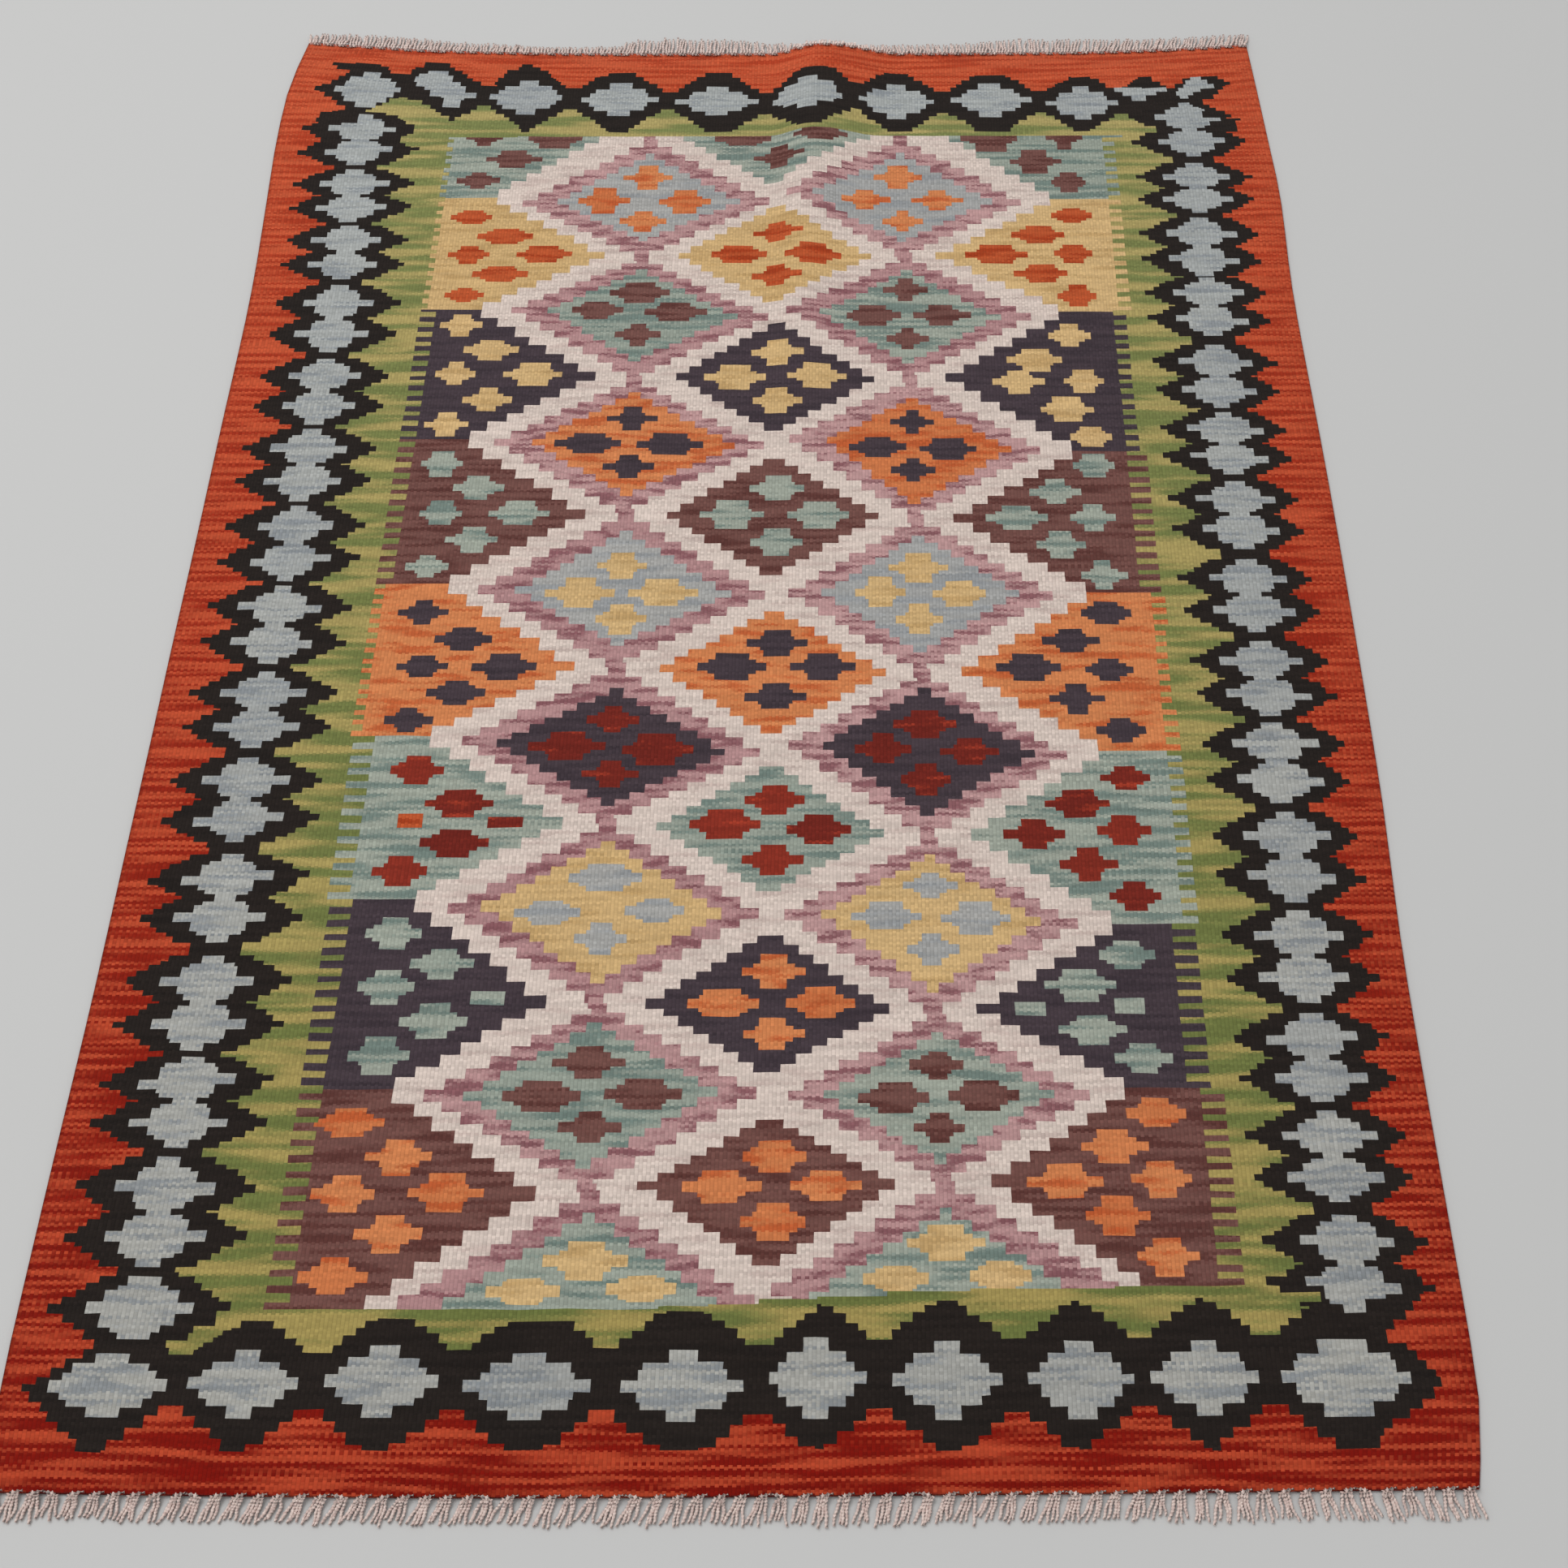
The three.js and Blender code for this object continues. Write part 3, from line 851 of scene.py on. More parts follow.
    # The pink diamonds: (x, y) of the neck above each and of its left and right corners, then the last neck.
    left_pink: tuple = (
        ((371, 152), (248, 247), (495, 245)), ((372, 325), (250, 396), (497, 408)),
        ((374, 489), (252, 567), (499, 572)), ((377, 652), (255, 738), (503, 745)),
        ((380, 822), (258, 897), (504, 910)), ((383, 978), (262, 1056), (506, 1061)),
        ((385, 1139), (264, 1215), (510, 1213)), ((391, 1290), (262, 1372), (514, 1372)),
        ((393, 1454),),
    )
    right_pink: tuple = (
        ((627, 151), (513, 237), (749, 247)), ((630, 324), (517, 400), (751, 408)),
        ((633, 489), (521, 563), (752, 578)), ((636, 659), (525, 743), (755, 746)),
        ((640, 829), (527, 901), (757, 913)), ((641, 992), (527, 1062), (756, 1071)),
        ((644, 1148), (532, 1215), (757, 1216)), ((647, 1283), (524, 1362), (770, 1362)),
        ((648, 1445),),
    )
    centres: tuple[Ground, ...] = dyed(CENTRE_WOOLS, (
        (84, 219, (404, 150), (596, 150), (
            (467, 151, 30, 22, 58), (504, 181, 18, 32, 50), (546, 153, 28, 22, 56))),
        (256, 388, (407, 322), (597, 324), (
            (505, 292, 18, 26, 48), (467, 321, 30, 25, 56), (541, 324, 27, 28, 54),
            (505, 352, 18, 28, 48))),
        (418, 553, (413, 485), (600, 490), (
            (508, 455, 20, 33, 49), (470, 486, 29, 31, 57), (546, 485, 28, 31, 54),
            (509, 516, 21, 31, 47))),
        (587, 723, (413, 655), (604, 657), (
            (512, 623, 23, 30, 49), (472, 654, 28, 32, 57), (550, 655, 28, 31, 54),
            (513, 686, 22, 32, 47))),
        (763, 891, (417, 824), (608, 828), (
            (516, 797, 22, 28, 51), (478, 822, 29, 27, 58), (555, 822, 25, 28, 56),
            (516, 853, 22, 27, 50))),
        (924, 1041, (422, 981), (607, 988), (
            (517, 956, 22, 28, 50), (478, 979, 30, 28, 56), (554, 984, 25, 28, 54),
            (516, 1012, 20, 28, 49))),
        (1080, 1196, (424, 1139), (610, 1145), (
            (520, 1112, 22, 30, 49), (482, 1139, 29, 24, 56), (557, 1139, 25, 26, 54),
            (521, 1165, 21, 27, 48))),
        (1235, 1345, (427, 1286), (613, 1285), (
            (524, 1264, 23, 25, 48), (486, 1287, 27, 24, 57), (561, 1286, 23, 24, 52),
            (525, 1313, 22, 28, 47))),
    ))
    # The side grounds, each with its inner corner, and how far out the cream between two of them reaches.
    left_grounds: tuple[Ground, ...] = dyed(SIDE_WOOLS, (
        (60, 238, (318, 150), (
            (201, 147, 15, 26, 39), (273, 149, 32, 32, 55), (233, 181, 27, 27, 57),
            (200, 213, 16, 25, 42))),
        (238, 396, (336, 322), (
            (200, 267, 20, 21, 40), (235, 294, 27, 21, 54), (202, 320, 17, 25, 38),
            (275, 320, 28, 24, 56), (235, 347, 26, 21, 53), (203, 376, 16, 21, 38))),
        (396, 563, (338, 485), (
            (205, 417, 15, 30, 39), (237, 450, 25, 27, 52), (206, 481, 16, 30, 39),
            (279, 482, 29, 30, 57), (240, 514, 19, 30, 48), (205, 545, 16, 29, 40))),
        (563, 732, (341, 653), (
            (206, 593, 18, 31, 38), (242, 622, 20, 29, 47), (212, 652, 18, 28, 40),
            (281, 652, 27, 28, 54), (243, 682, 20, 30, 47), (207, 713, 15, 25, 39))),
        (732, 892, (345, 822), (
            (209, 763, 17, 27, 42), (247, 792, 21, 26, 50), (215, 821, 18, 24, 43),
            (285, 822, 26, 29, 55), (247, 848, 21, 25, 50), (210, 876, 15, 25, 41))),
        (892, 1048, (346, 978), (
            (223, 926, 19, 27, 44), (261, 958, 28, 26, 56), (261, 996, 28, 26, 55),
            (222, 1022, 20, 27, 44))),
        (1048, 1210, (347, 1138), (
            (223, 1078, 19, 27, 44), (264, 1105, 20, 27, 48), (224, 1125, 21, 30, 45),
            (263, 1154, 26, 30, 53), (225, 1182, 22, 31, 46))),
        (1210, 1377, (352, 1291), (
            (211, 1236, 24, 23, 51), (250, 1263, 20, 28, 51), (214, 1292, 20, 28, 47),
            (287, 1291, 27, 29, 56), (250, 1322, 20, 28, 50), (215, 1353, 21, 26, 49))),
    ))
    right_grounds: tuple[Ground, ...] = dyed(SIDE_WOOLS, (
        (60, 242, (678, 150), (
            (720, 151, 33, 42, 58), (797, 150, 15, 36, 38), (765, 186, 27, 36, 53),
            (798, 217, 18, 29, 37))),
        (242, 401, (662, 323), (
            (798, 266, 18, 22, 40), (763, 294, 26, 26, 52), (796, 321, 19, 27, 40),
            (721, 322, 30, 27, 60), (764, 349, 25, 26, 52), (797, 380, 17, 30, 38))),
        (401, 579, (667, 487), (
            (786, 433, 20, 30, 40), (752, 465, 27, 30, 53), (796, 492, 18, 30, 40),
            (735, 493, 20, 30, 50), (778, 528, 25, 31, 49), (799, 562, 18, 24, 39))),
        (579, 743, (671, 659), (
            (799, 597, 19, 29, 40), (763, 628, 19, 30, 47), (794, 658, 17, 30, 41),
            (726, 658, 27, 29, 55), (764, 690, 19, 31, 44), (800, 724, 15, 33, 42))),
        (743, 908, (673, 828), (
            (799, 766, 23, 25, 46), (767, 795, 19, 25, 48), (798, 826, 18, 23, 39),
            (730, 824, 27, 28, 55), (768, 856, 18, 31, 46), (804, 888, 17, 25, 39))),
        (908, 1070, (675, 989), (
            (804, 935, 18, 24, 41), (763, 960, 26, 26, 53), (799, 986, 19, 29, 43),
            (727, 989, 21, 28, 49), (768, 1017, 18, 30, 46), (804, 1046, 19, 26, 40))),
        (1070, 1210, (677, 1145), (
            (793, 1098, 20, 26, 45), (756, 1124, 25, 28, 54), (763, 1162, 25, 25, 54),
            (799, 1186, 19, 25, 44))),
        (1210, 1361, (682, 1283), (
            (805, 1230, 20, 23, 43), (772, 1256, 23, 25, 50), (805, 1281, 20, 28, 45),
            (735, 1283, 25, 26, 54), (771, 1309, 23, 29, 48), (804, 1339, 20, 28, 43))),
    ))
    left_cream: tuple = (221, 223, 227, 228, 232, 236, 240, 240)
    right_cream: tuple = (776, 778, 779, 782, 783, 783, 783, 783)
    # Short bars where a cross was left unfinished: x0, x1, y0, y1 and the wool.
    bars: tuple = (
        (213, 233, 969, 982, Yarn.SCARLET), (287, 314, 971, 982, Yarn.OXBLOOD),
        (290, 316, 1129, 1140, Yarn.TEAL), (781, 803, 1136, 1149, Yarn.TEAL),
        (704, 729, 1138, 1150, Yarn.TEAL),
    )
    # Combs where the green meets the side grounds: y0, y1, from x, to x, the ticks' pitch.
    left_combs: tuple = ((150, 400, 160, 169, 12.6), (400, 732, 163, 178, 12.6), (732, 892, 163, 172, 11.0),
                         (892, 1048, 168, 184, 12.8), (1048, 1377, 170, 188, 12.4))
    right_combs: tuple = ((150, 400, 836, 848, 12.6), (400, 579, 829, 843, 12.4), (579, 743, 831, 847, 12.4),
                          (743, 908, 839, 850, 11.5), (908, 1070, 838, 850, 11.8),
                          (1070, 1210, 829, 848, 11.3), (1210, 1361, 839, 857, 10.7))

    def weave(self) -> None:
        """Weaves the field."""
        cream = self.chart.fresh_lot()
        for x0, x1, near in self.near_bands:
            self.chart.fill(max(x0, self.left), min(x1, self.right), self.far, near, Yarn.CREAM, cream)
        before, before_lots = self.chart.yarn.copy(), self.chart.lot.copy()
        self.chart.window = (self.left, self.right, self.far, self.near)
        self.side_grounds(self.left_grounds, self.left_cream, inward=1)
        self.side_grounds(self.right_grounds, self.right_cream, inward=-1)
        for ground in self.centres:
            self.diamond(ground, sum(x for x, _ in ground.tips) / 2, self.centre_core)
        for column, pink in ((self.left_columns, self.left_pink), (self.right_columns, self.right_pink)):
            self.pink_column(pink)
            for ground in column:
                cut_off = len(ground.crosses) < self.whole
                first, last = ground.crosses[0].x, ground.crosses[0 if cut_off else -1].x
                self.diamond(ground, (first + last) / 2, self.column_core)
        for ground in (*self.left_grounds, *self.right_grounds, *self.centres, *self.left_columns,
                       *self.right_columns):
            for cross in ground.crosses:
                self.cross(cross, ground.crosses_in)
        for *box, yarn in self.bars:
            self.chart.fill(*box, yarn)
        self.chart.window = WHOLE_CLOTH
        spill = before != Yarn.CREAM.value
        self.chart.yarn[spill], self.chart.lot[spill] = before[spill], before_lots[spill]
        self.comb(self.left_combs, outward=-1)
        self.comb(self.right_combs, outward=1)

    def stairs(self, x: float, tip: tuple[float, float], top: float, bottom: float,
               steps: int, core: float, yarn: Yarn, lot: int) -> None:
        """Weaves the stepped half of a diamond, from its middle out to one corner.

        Args:
            x: its middle line.
            tip: its outer corner.
            top: its far corner, along the rug.
            bottom: its near corner.
            steps: how many steps there are on each slope.
            core: its half width at the top and the bottom.
            yarn: its wool.
            lot: its dye lot.
        """
        side = math.copysign(1, tip[0] - x)
        reach = abs(tip[0] - x)
        for i in range(steps + 1):
            half = reach - (reach - core) * i / steps
            share = (i + 0.5) / (steps + 0.5)
            y0 = tip[1] - (tip[1] - top) * share
            y1 = tip[1] + (bottom - tip[1]) * share
            self.chart.fill(x, x + side * half, y0, y1, yarn, lot)

    def diamond(self, ground: Ground, middle: float, core: float) -> None:
        """Weaves a diamond of one ground.

        Args:
            ground: its corners and wool.
            middle: its middle line.
            core: its half width at the top and the bottom.
        """
        lot = self.chart.fresh_lot()
        for tip in ground.tips:
            self.stairs(middle, tip, ground.top, ground.bottom, self.ground_steps, core,
                        ground.yarn, lot)

    def pink_column(self, corners: Sequence) -> None:
        """Weaves a column of pink diamonds that hang from each other by narrow necks.

        Args:
            corners: for each diamond, the neck above it and its left and right corners.
        """
        for above, below in zip(corners, corners[1:]):
            lot = self.chart.fresh_lot()
            neck, left, right = above
            middle = (neck[0] + below[0][0]) / 2
            for tip in (left, right):
                self.stairs(middle, tip, neck[1], below[0][1], self.pink_steps, self.neck,
                            Yarn.PINK, lot)
            self.chart.around(*neck, self.neck, self.neck_reach, Yarn.PINK, lot)

    def side_grounds(self, grounds: Sequence[Ground], cream: Sequence[float],
                     inward: int) -> None:
        """Weaves the row of grounds along one side.

        Args:
            grounds: the grounds, from the far end.
            cream: how far out the cream reaches at the near end of each ground.
            inward: 1 on the left side, -1 on the right.
        """
        steps = self.ground_steps
        edge = self.left if inward > 0 else self.right
        for i, ground in enumerate(grounds):
            lot = self.chart.fresh_lot()
            x, y = ground.tips[0]
            for end, limit in ((cream[max(i - 1, 0)], ground.top), (cream[i], ground.bottom)):
                for k in range(steps + 1):
                    into = x - (x - end) * k / steps
                    share = (k + 0.5) / (steps + 0.5)
                    self.chart.fill(edge, into, y, y + (limit - y) * share, ground.yarn, lot)

    def cross(self, cross: Cross, yarn: Yarn) -> None:
        """Weaves one small cross.

        Args:
            cross: its place and sizes.
            yarn: its wool.
        """
        lot = self.chart.fresh_lot()
        arm, body = self.cross_arm / 2, cross.wide / 2
        shoulder = min(self.shoulder, (cross.reach - cross.wide) / 4)
        for reach, rise in ((body, cross.tall / 2), (body + shoulder, arm + self.shoulder_rise),
                            (cross.reach / 2, arm)):
            self.chart.around(cross.x, cross.y, reach, rise, yarn, lot)

    def comb(self, stretches: Sequence, outward: int) -> None:
        """Weaves the green ticks that lock the border into the side grounds.

        Args:
            stretches: y0, y1, from x, to x and the ticks' pitch of each stretch.
            outward: -1 on the left side, 1 on the right.
        """
        for y0, y1, x0, x1, pitch in stretches:
            count = round((y1 - y0) / pitch)
            for i in range(count):
                start = y0 + (y1 - y0) * i / count
                self.chart.fill(x0, x1, start, start + pitch * self.tick, Yarn.GREEN, self.chart.green)
            solid = (self.left - self.comb_edge, x0) if outward < 0 else (x1, self.right)
            self.chart.fill(*solid, y0, y1, Yarn.GREEN, self.chart.green)


# ---- The cloth's sheet ----


class Patch(NamedTuple):
    """A rectangle of the chart in one wool: its first and last warp and row lines."""

    c0: int
    c1: int
    r0: int
    r1: int


def wander(columns: np.ndarray, rows: np.ndarray, waves: Sequence[float]) -> np.ndarray:
    """Gives how a line of the weave wanders, by a slow, a middling and a quick wave.

    Args:
        columns: places across, in warps.
        rows: places along, in rows.
        waves: the slow wave's rate, and its swing's size and rate; then the rates of the other two
            along and across, and the quick one's size.

    Returns:
        The wander at each place, about -2.8 to 2.8.
    """
    slow, swing, swing_rate, middling_along, middling_across, quick_along, quick_across, quick = waves
    return (np.sin(columns * slow + swing * np.sin(rows * swing_rate))
            + np.sin(rows * middling_along + columns * middling_across)
            + quick * np.sin(rows * quick_along + columns * quick_across))


@dataclass
class ClothSheet:
    """The woven cloth as one closed sheet, with a face on each side for each patch of one wool.

    Lengths are in millimetres, and the cuts are counted in warps and rows of the chart.
    """

    chart: Chart
    column_cut: int = 12
    row_cut: int = 24
    ridge_zone: tuple = (150, 235, 320)  # first and last warp and last row of the raised part
    ridge_cuts: tuple = (3, 5)  # how far apart that part is cut, in warps and in rows
    yarn_step: int = 100000  # between two yarns' numbers, more than there are dye lots
    waver: float = 0.45  # how far the lines between two wools wander,
    sway: tuple = (0.47, 3, 0.031, 0.19, 0.11, 0.83, 1.9, 0.8)  # how quickly, from side to side
    dip: tuple = (0.23, 1.7, 0.05, 0.37, 0.29, -0.7, 1.31, 0.8)  # and up and down the rug
    calm: float = 4  # this many cells from the rim they wander less,
    calmest: float = 0.35  # down to this share
    swells: tuple = ((61, 1.3, 140), (47, 1.1, 90))  # the flat cloth's waves, across and along
    rim_round: float = 0.9  # how far the rim's upper and lower edges are rounded off
    rim_bulge: float = 0.7

    def patches(self) -> list[Patch]:
        """Splits the chart into rectangles of one wool and dye lot, cut smaller on the ridge.

        Returns:
            The rectangles.
        """
        warps, rows = self.chart.warps, self.chart.rows
        first, last, deep = self.ridge_zone
        columns = {*range(0, warps, self.column_cut), 1, warps - 1, warps}
        ridge = set(range(first, last + 1, self.ridge_cuts[0]))
        coarse = {*range(0, rows, self.row_cut), 1, rows - 1}
        wool = self.chart.yarn.astype(np.int64) * self.yarn_step + self.chart.lot
        open_since: dict[tuple[int, int, int], int] = {}
        done: list[Patch] = []
        for r, row in enumerate(wool):
            changes = (np.flatnonzero(np.diff(row)) + 1).tolist()
            ends = sorted({*columns, *changes, *(ridge if r < deep else ())})
            now = {(a, b, int(row[a])) for a, b in zip(ends, ends[1:])}
            for span in list(open_since):
                in_ridge = first <= span[0] and span[1] <= last and r <= deep
                if span not in now or r in coarse or (in_ridge and r % self.ridge_cuts[1] == 0):
                    done.append(Patch(span[0], span[1], open_since.pop(span), r))
            for span in now:
                open_since.setdefault(span, r)
        done += [Patch(a, b, since, rows) for (a, b, _), since in open_since.items()]
        return done

    def lay(self, corners: np.ndarray) -> tuple[np.ndarray, np.ndarray]:
        """Finds where the chart's corners lie.

        Args:
            corners: (column, row) lines.

        Returns:
            Their places in the frame, with z on the underside, and their places on the cloth.
        """
        chart, lie = self.chart, self.chart.lie
        c, r = corners[:, 0], corners[:, 1]
        from_rim = np.minimum(np.minimum(c, chart.warps - c), np.minimum(r, chart.rows - r))
        size = self.waver * 0.5
        inner = (from_rim / self.calm).clip(self.calmest, 1)
        left = c * chart.warp_pitch + size * wander(c, r, self.sway) * inner * (c > 0) * (c < chart.warps)
        far = r * chart.row_pitch + size * wander(c, r, self.dip) * inner * (r > 0) * (r < chart.rows)
        place = lie.place(left, far)
        (wide, bend, bend_length), (long, turn, turn_length) = self.swells
        swell = np.sin(left / wide + bend * np.sin(far / bend_length)) \
            * np.sin(far / long + turn * np.sin(left / turn_length))
        place[:, 2] += lie.ripple * (1 + swell)
        return place, np.stack([left, far], axis=-1)

    def build(self) -> bpy.types.Object:
        """Makes the sheet, with its wools as attributes of its faces.

        Returns:
            The object, in the frame.
        """
        chart, lie = self.chart, self.chart.lie
        patches = self.patches()
        on_row: dict[int, set[int]] = defaultdict(set)
        on_column: dict[int, set[int]] = defaultdict(set)
        for p in patches:
            for c in (p.c0, p.c1):
                for r in (p.r0, p.r1):
                    on_row[r].add(c)
                    on_column[c].add(r)
        row_lines = {r: np.array(sorted(found)) for r, found in on_row.items()}
        column_lines = {c: np.array(sorted(found)) for c, found in on_column.items()}
        corners = np.array([(c, r) for r, found in sorted(row_lines.items()) for c in found], float)
        number = {(int(c), int(r)): i for i, (c, r) in enumerate(corners)}

        def on(lines: dict, key: int, low: int, high: int) -> list[int]:
            """Lists the corners on one line from low to high."""
            line = lines[key]
            return line[np.searchsorted(line, low):np.searchsorted(line, high, side="right")].tolist()

        top_faces: list[list[int]] = []
        wools: list[tuple[int, int, int]] = []
        for p in patches:
            far, near = ([number[c, r] for c in on(row_lines, r, p.c0, p.c1)] for r in (p.r0, p.r1))
            left, right = ([number[c, r] for r in on(column_lines, c, p.r0, p.r1)] for c in (p.c0, p.c1))
            loop = far[:-1] + right[:-1] + near[:0:-1] + left[:0:-1]
            top_faces.append(loop[::-1])
            wools.append((chart.yarn[p.r0, p.c0], chart.lot[p.r0, p.c0], (p.r0 + p.r1) // 2))

        under, cloth_at = self.lay(corners)
        count = len(corners)
        upper = under + [0, 0, lie.thickness]
        rim = self.rim(row_lines, column_lines, number)
        outward = self.outward(under, rim)
        upper[rim, 2] -= self.rim_round
        under_rim = under[rim, 2].copy()
        under[rim, 2] += self.rim_round
        middle = under[rim] + outward * self.rim_bulge
        middle[:, 2] = under_rim + lie.thickness / 2
        points = np.concatenate([upper, under, middle]) * MM
        faces = top_faces + [[i + count for i in face[::-1]] for face in top_faces]
        edge_wool = self.rim_wools(corners, rim)
        wools = wools + wools + edge_wool + edge_wool
        upper_line, middle_line = rim, range(2 * count, 2 * count + len(rim))
        under_line = [count + corner for corner in rim]
        for high, low in ((upper_line, middle_line), (middle_line, under_line)):
            for k in range(len(rim)):
                n = (k + 1) % len(rim)
                faces.append([high[k], high[n], low[n], low[k]])
        mesh = bpy.data.meshes.new("kilim_weave")
        mesh.from_pydata(points.tolist(), [], faces)
        mesh.validate()
        self.colour(mesh, wools)
        across_along = np.concatenate([cloth_at, cloth_at, cloth_at[rim]]) * MM
        weave = mesh.attributes.new("weave", "FLOAT_VECTOR", "POINT")
        weave.data.foreach_set("vector", np.column_stack([across_along, np.zeros(len(points))]).ravel())
        mesh.shade_smooth()
        log.info("cloth: %d patches, %d faces, %d corners", len(patches), len(faces), len(points))
        sheet = bpy.data.objects.new("kilim_weave", mesh)
        bpy.context.scene.collection.objects.link(sheet)
        return sheet

    def rim(self, row_lines: dict, column_lines: dict, number: dict) -> list[int]:
        """Lists the corners round the cloth's outline, anticlockwise from above.

        Args:
            row_lines: the corners' columns on each row line.
            column_lines: the corners' rows on each column line.
            number: each corner's number.

        Returns:
            The numbers, in order.
        """
        warps, rows = self.chart.warps, self.chart.rows
        left = [number[0, int(r)] for r in column_lines[0]]
        near = [number[int(c), rows] for c in row_lines[rows]]
        right = [number[warps, int(r)] for r in column_lines[warps]][::-1]
        far = [number[int(c), 0] for c in row_lines[0]][::-1]
        return left[:-1] + near[:-1] + right[:-1] + far[:-1]

    def outward(self, points: np.ndarray, rim: list[int]) -> np.ndarray:
        """Gives the outward direction at each corner of the outline, level with the floor.

        Args:
            points: the corners' places.
            rim: the numbers of those round the outline.

        Returns:
            A unit vector for each.
        """
        flat = points[rim][:, :2]
        along = np.roll(flat, -1, axis=0) - np.roll(flat, 1, axis=0)
        along /= np.linalg.norm(along, axis=1, keepdims=True)
        return np.column_stack([along[:, 1], -along[:, 0], np.zeros(len(rim))])

    def rim_wools(self, corners: np.ndarray, rim: list[int]) -> list[tuple[int, int, int]]:
        """Finds the wool of each stretch of the rim.

        Args:
            corners: (column, row) lines.
            rim: the numbers of the corners round the outline.

        Returns:
            Its yarn, lot and row.
        """
        chart = self.chart
        found = []
        for k, a in enumerate(rim):
            c, r = (corners[a] + corners[rim[(k + 1) % len(rim)]]) / 2
            c, r = min(int(c), chart.warps - 1), min(int(r), chart.rows - 1)
            found.append((chart.yarn[r, c], chart.lot[r, c], r))
        return found

    def colour(self, mesh: bpy.types.Mesh, wools: list[tuple[int, int, int]]) -> None:
        """Writes each face's dyes, lot and streaks.

        Args:
            mesh: the sheet's mesh.
            wools: yarn, lot and row of each face.
        """
        yarns = list(Yarn)
        main, streak, run = [], [], []
        for yarn, lot, row in wools:
            dye = DYES[yarns[yarn]].at(row / self.chart.rows, lot)
            main.append((*linear(dye.main), (lot * LOT_STEP) % 1))
            streak.append((*linear(dye.streak), dye.depth))
            run.append((1 / (dye.reach * MM), 1 / (dye.band * MM), dye.share))
        for name, kind, key, values in (
            ("dye", "FLOAT_COLOR", "color", main), ("dye_streak", "FLOAT_COLOR", "color", streak),
            ("dye_run", "FLOAT_VECTOR", "vector", run),
        ):
            attribute = mesh.attributes.new(name, kind, "FACE")
            attribute.data.foreach_set(key, np.array(values, np.float32).ravel())


# ---- Finishes ----


class Wiring:
    """Adds nodes to a tree and joins them."""

    def __init__(self, tree: bpy.types.NodeTree) -> None:
        """Starts with an empty tree."""
        self.tree = tree
        tree.nodes.clear()

    def add(self, kind: str, inputs: dict | None = None, **settings: object) -> bpy.types.Node:
        """Adds one node.

        Args:
            kind: its type.
            inputs: a value or another node's output for some of its inputs, by name or place.
            settings: its own properties.

        Returns:
            The node.
        """
        node = self.tree.nodes.new(kind)
        for name, value in settings.items():
            setattr(node, name, value)
        for key, value in (inputs or {}).items():
            if isinstance(value, bpy.types.NodeSocket):
                self.tree.links.new(value, node.inputs[key])
            else:
                node.inputs[key].default_value = value
        return node

    def math(self, operation: str, *values: object) -> bpy.types.NodeSocket:
        """Adds a sum or other operation, and gives its result."""
        return self.add("ShaderNodeMath", dict(enumerate(values)), operation=operation).outputs[0]

    def scaled(self, values: Sequence[object], rates: Sequence[float]) -> list[bpy.types.NodeSocket]:
        """Multiplies each value by its rate, and gives the results."""
        return [self.math("MULTIPLY", value, rate) for value, rate in zip(values, rates)]

    def mix(self, share: object, a: object, b: object, blend: str = "MIX") -> bpy.types.NodeSocket:
        """Blends two colours, and gives the result."""
        node = self.add("ShaderNodeMix", {0: share, 6: a, 7: b}, data_type="RGBA", blend_type=blend)
        return node.outputs[2]

    def span(self, value: object, low: object, high: object,
             to: tuple[float, float] = (0, 1)) -> bpy.types.NodeSocket:
        """Maps a range smoothly to another.

        Args:
            value: what is mapped.
            low: where the range starts.
            high: where it ends.
            to: the start and end of the other range.

        Returns:
            The result.
        """
        node = self.add("ShaderNodeMapRange", {0: value, 1: low, 2: high, 3: to[0], 4: to[1]},
                        interpolation_type="SMOOTHSTEP")
        return node.outputs[0]

    def noise(self, vector: object, scale: float = 1, detail: float = 0) -> bpy.types.NodeSocket:
        """Adds a noise, and gives its value."""
        return self.add("ShaderNodeTexNoise", {"Vector": vector, "Scale": scale, "Detail": detail}).outputs[0]

    def vector(self, x: object, y: object, z: object = 0.0) -> bpy.types.NodeSocket:
        """Joins three numbers into a vector."""
        return self.add("ShaderNodeCombineXYZ", {0: x, 1: y, 2: z}).outputs[0]


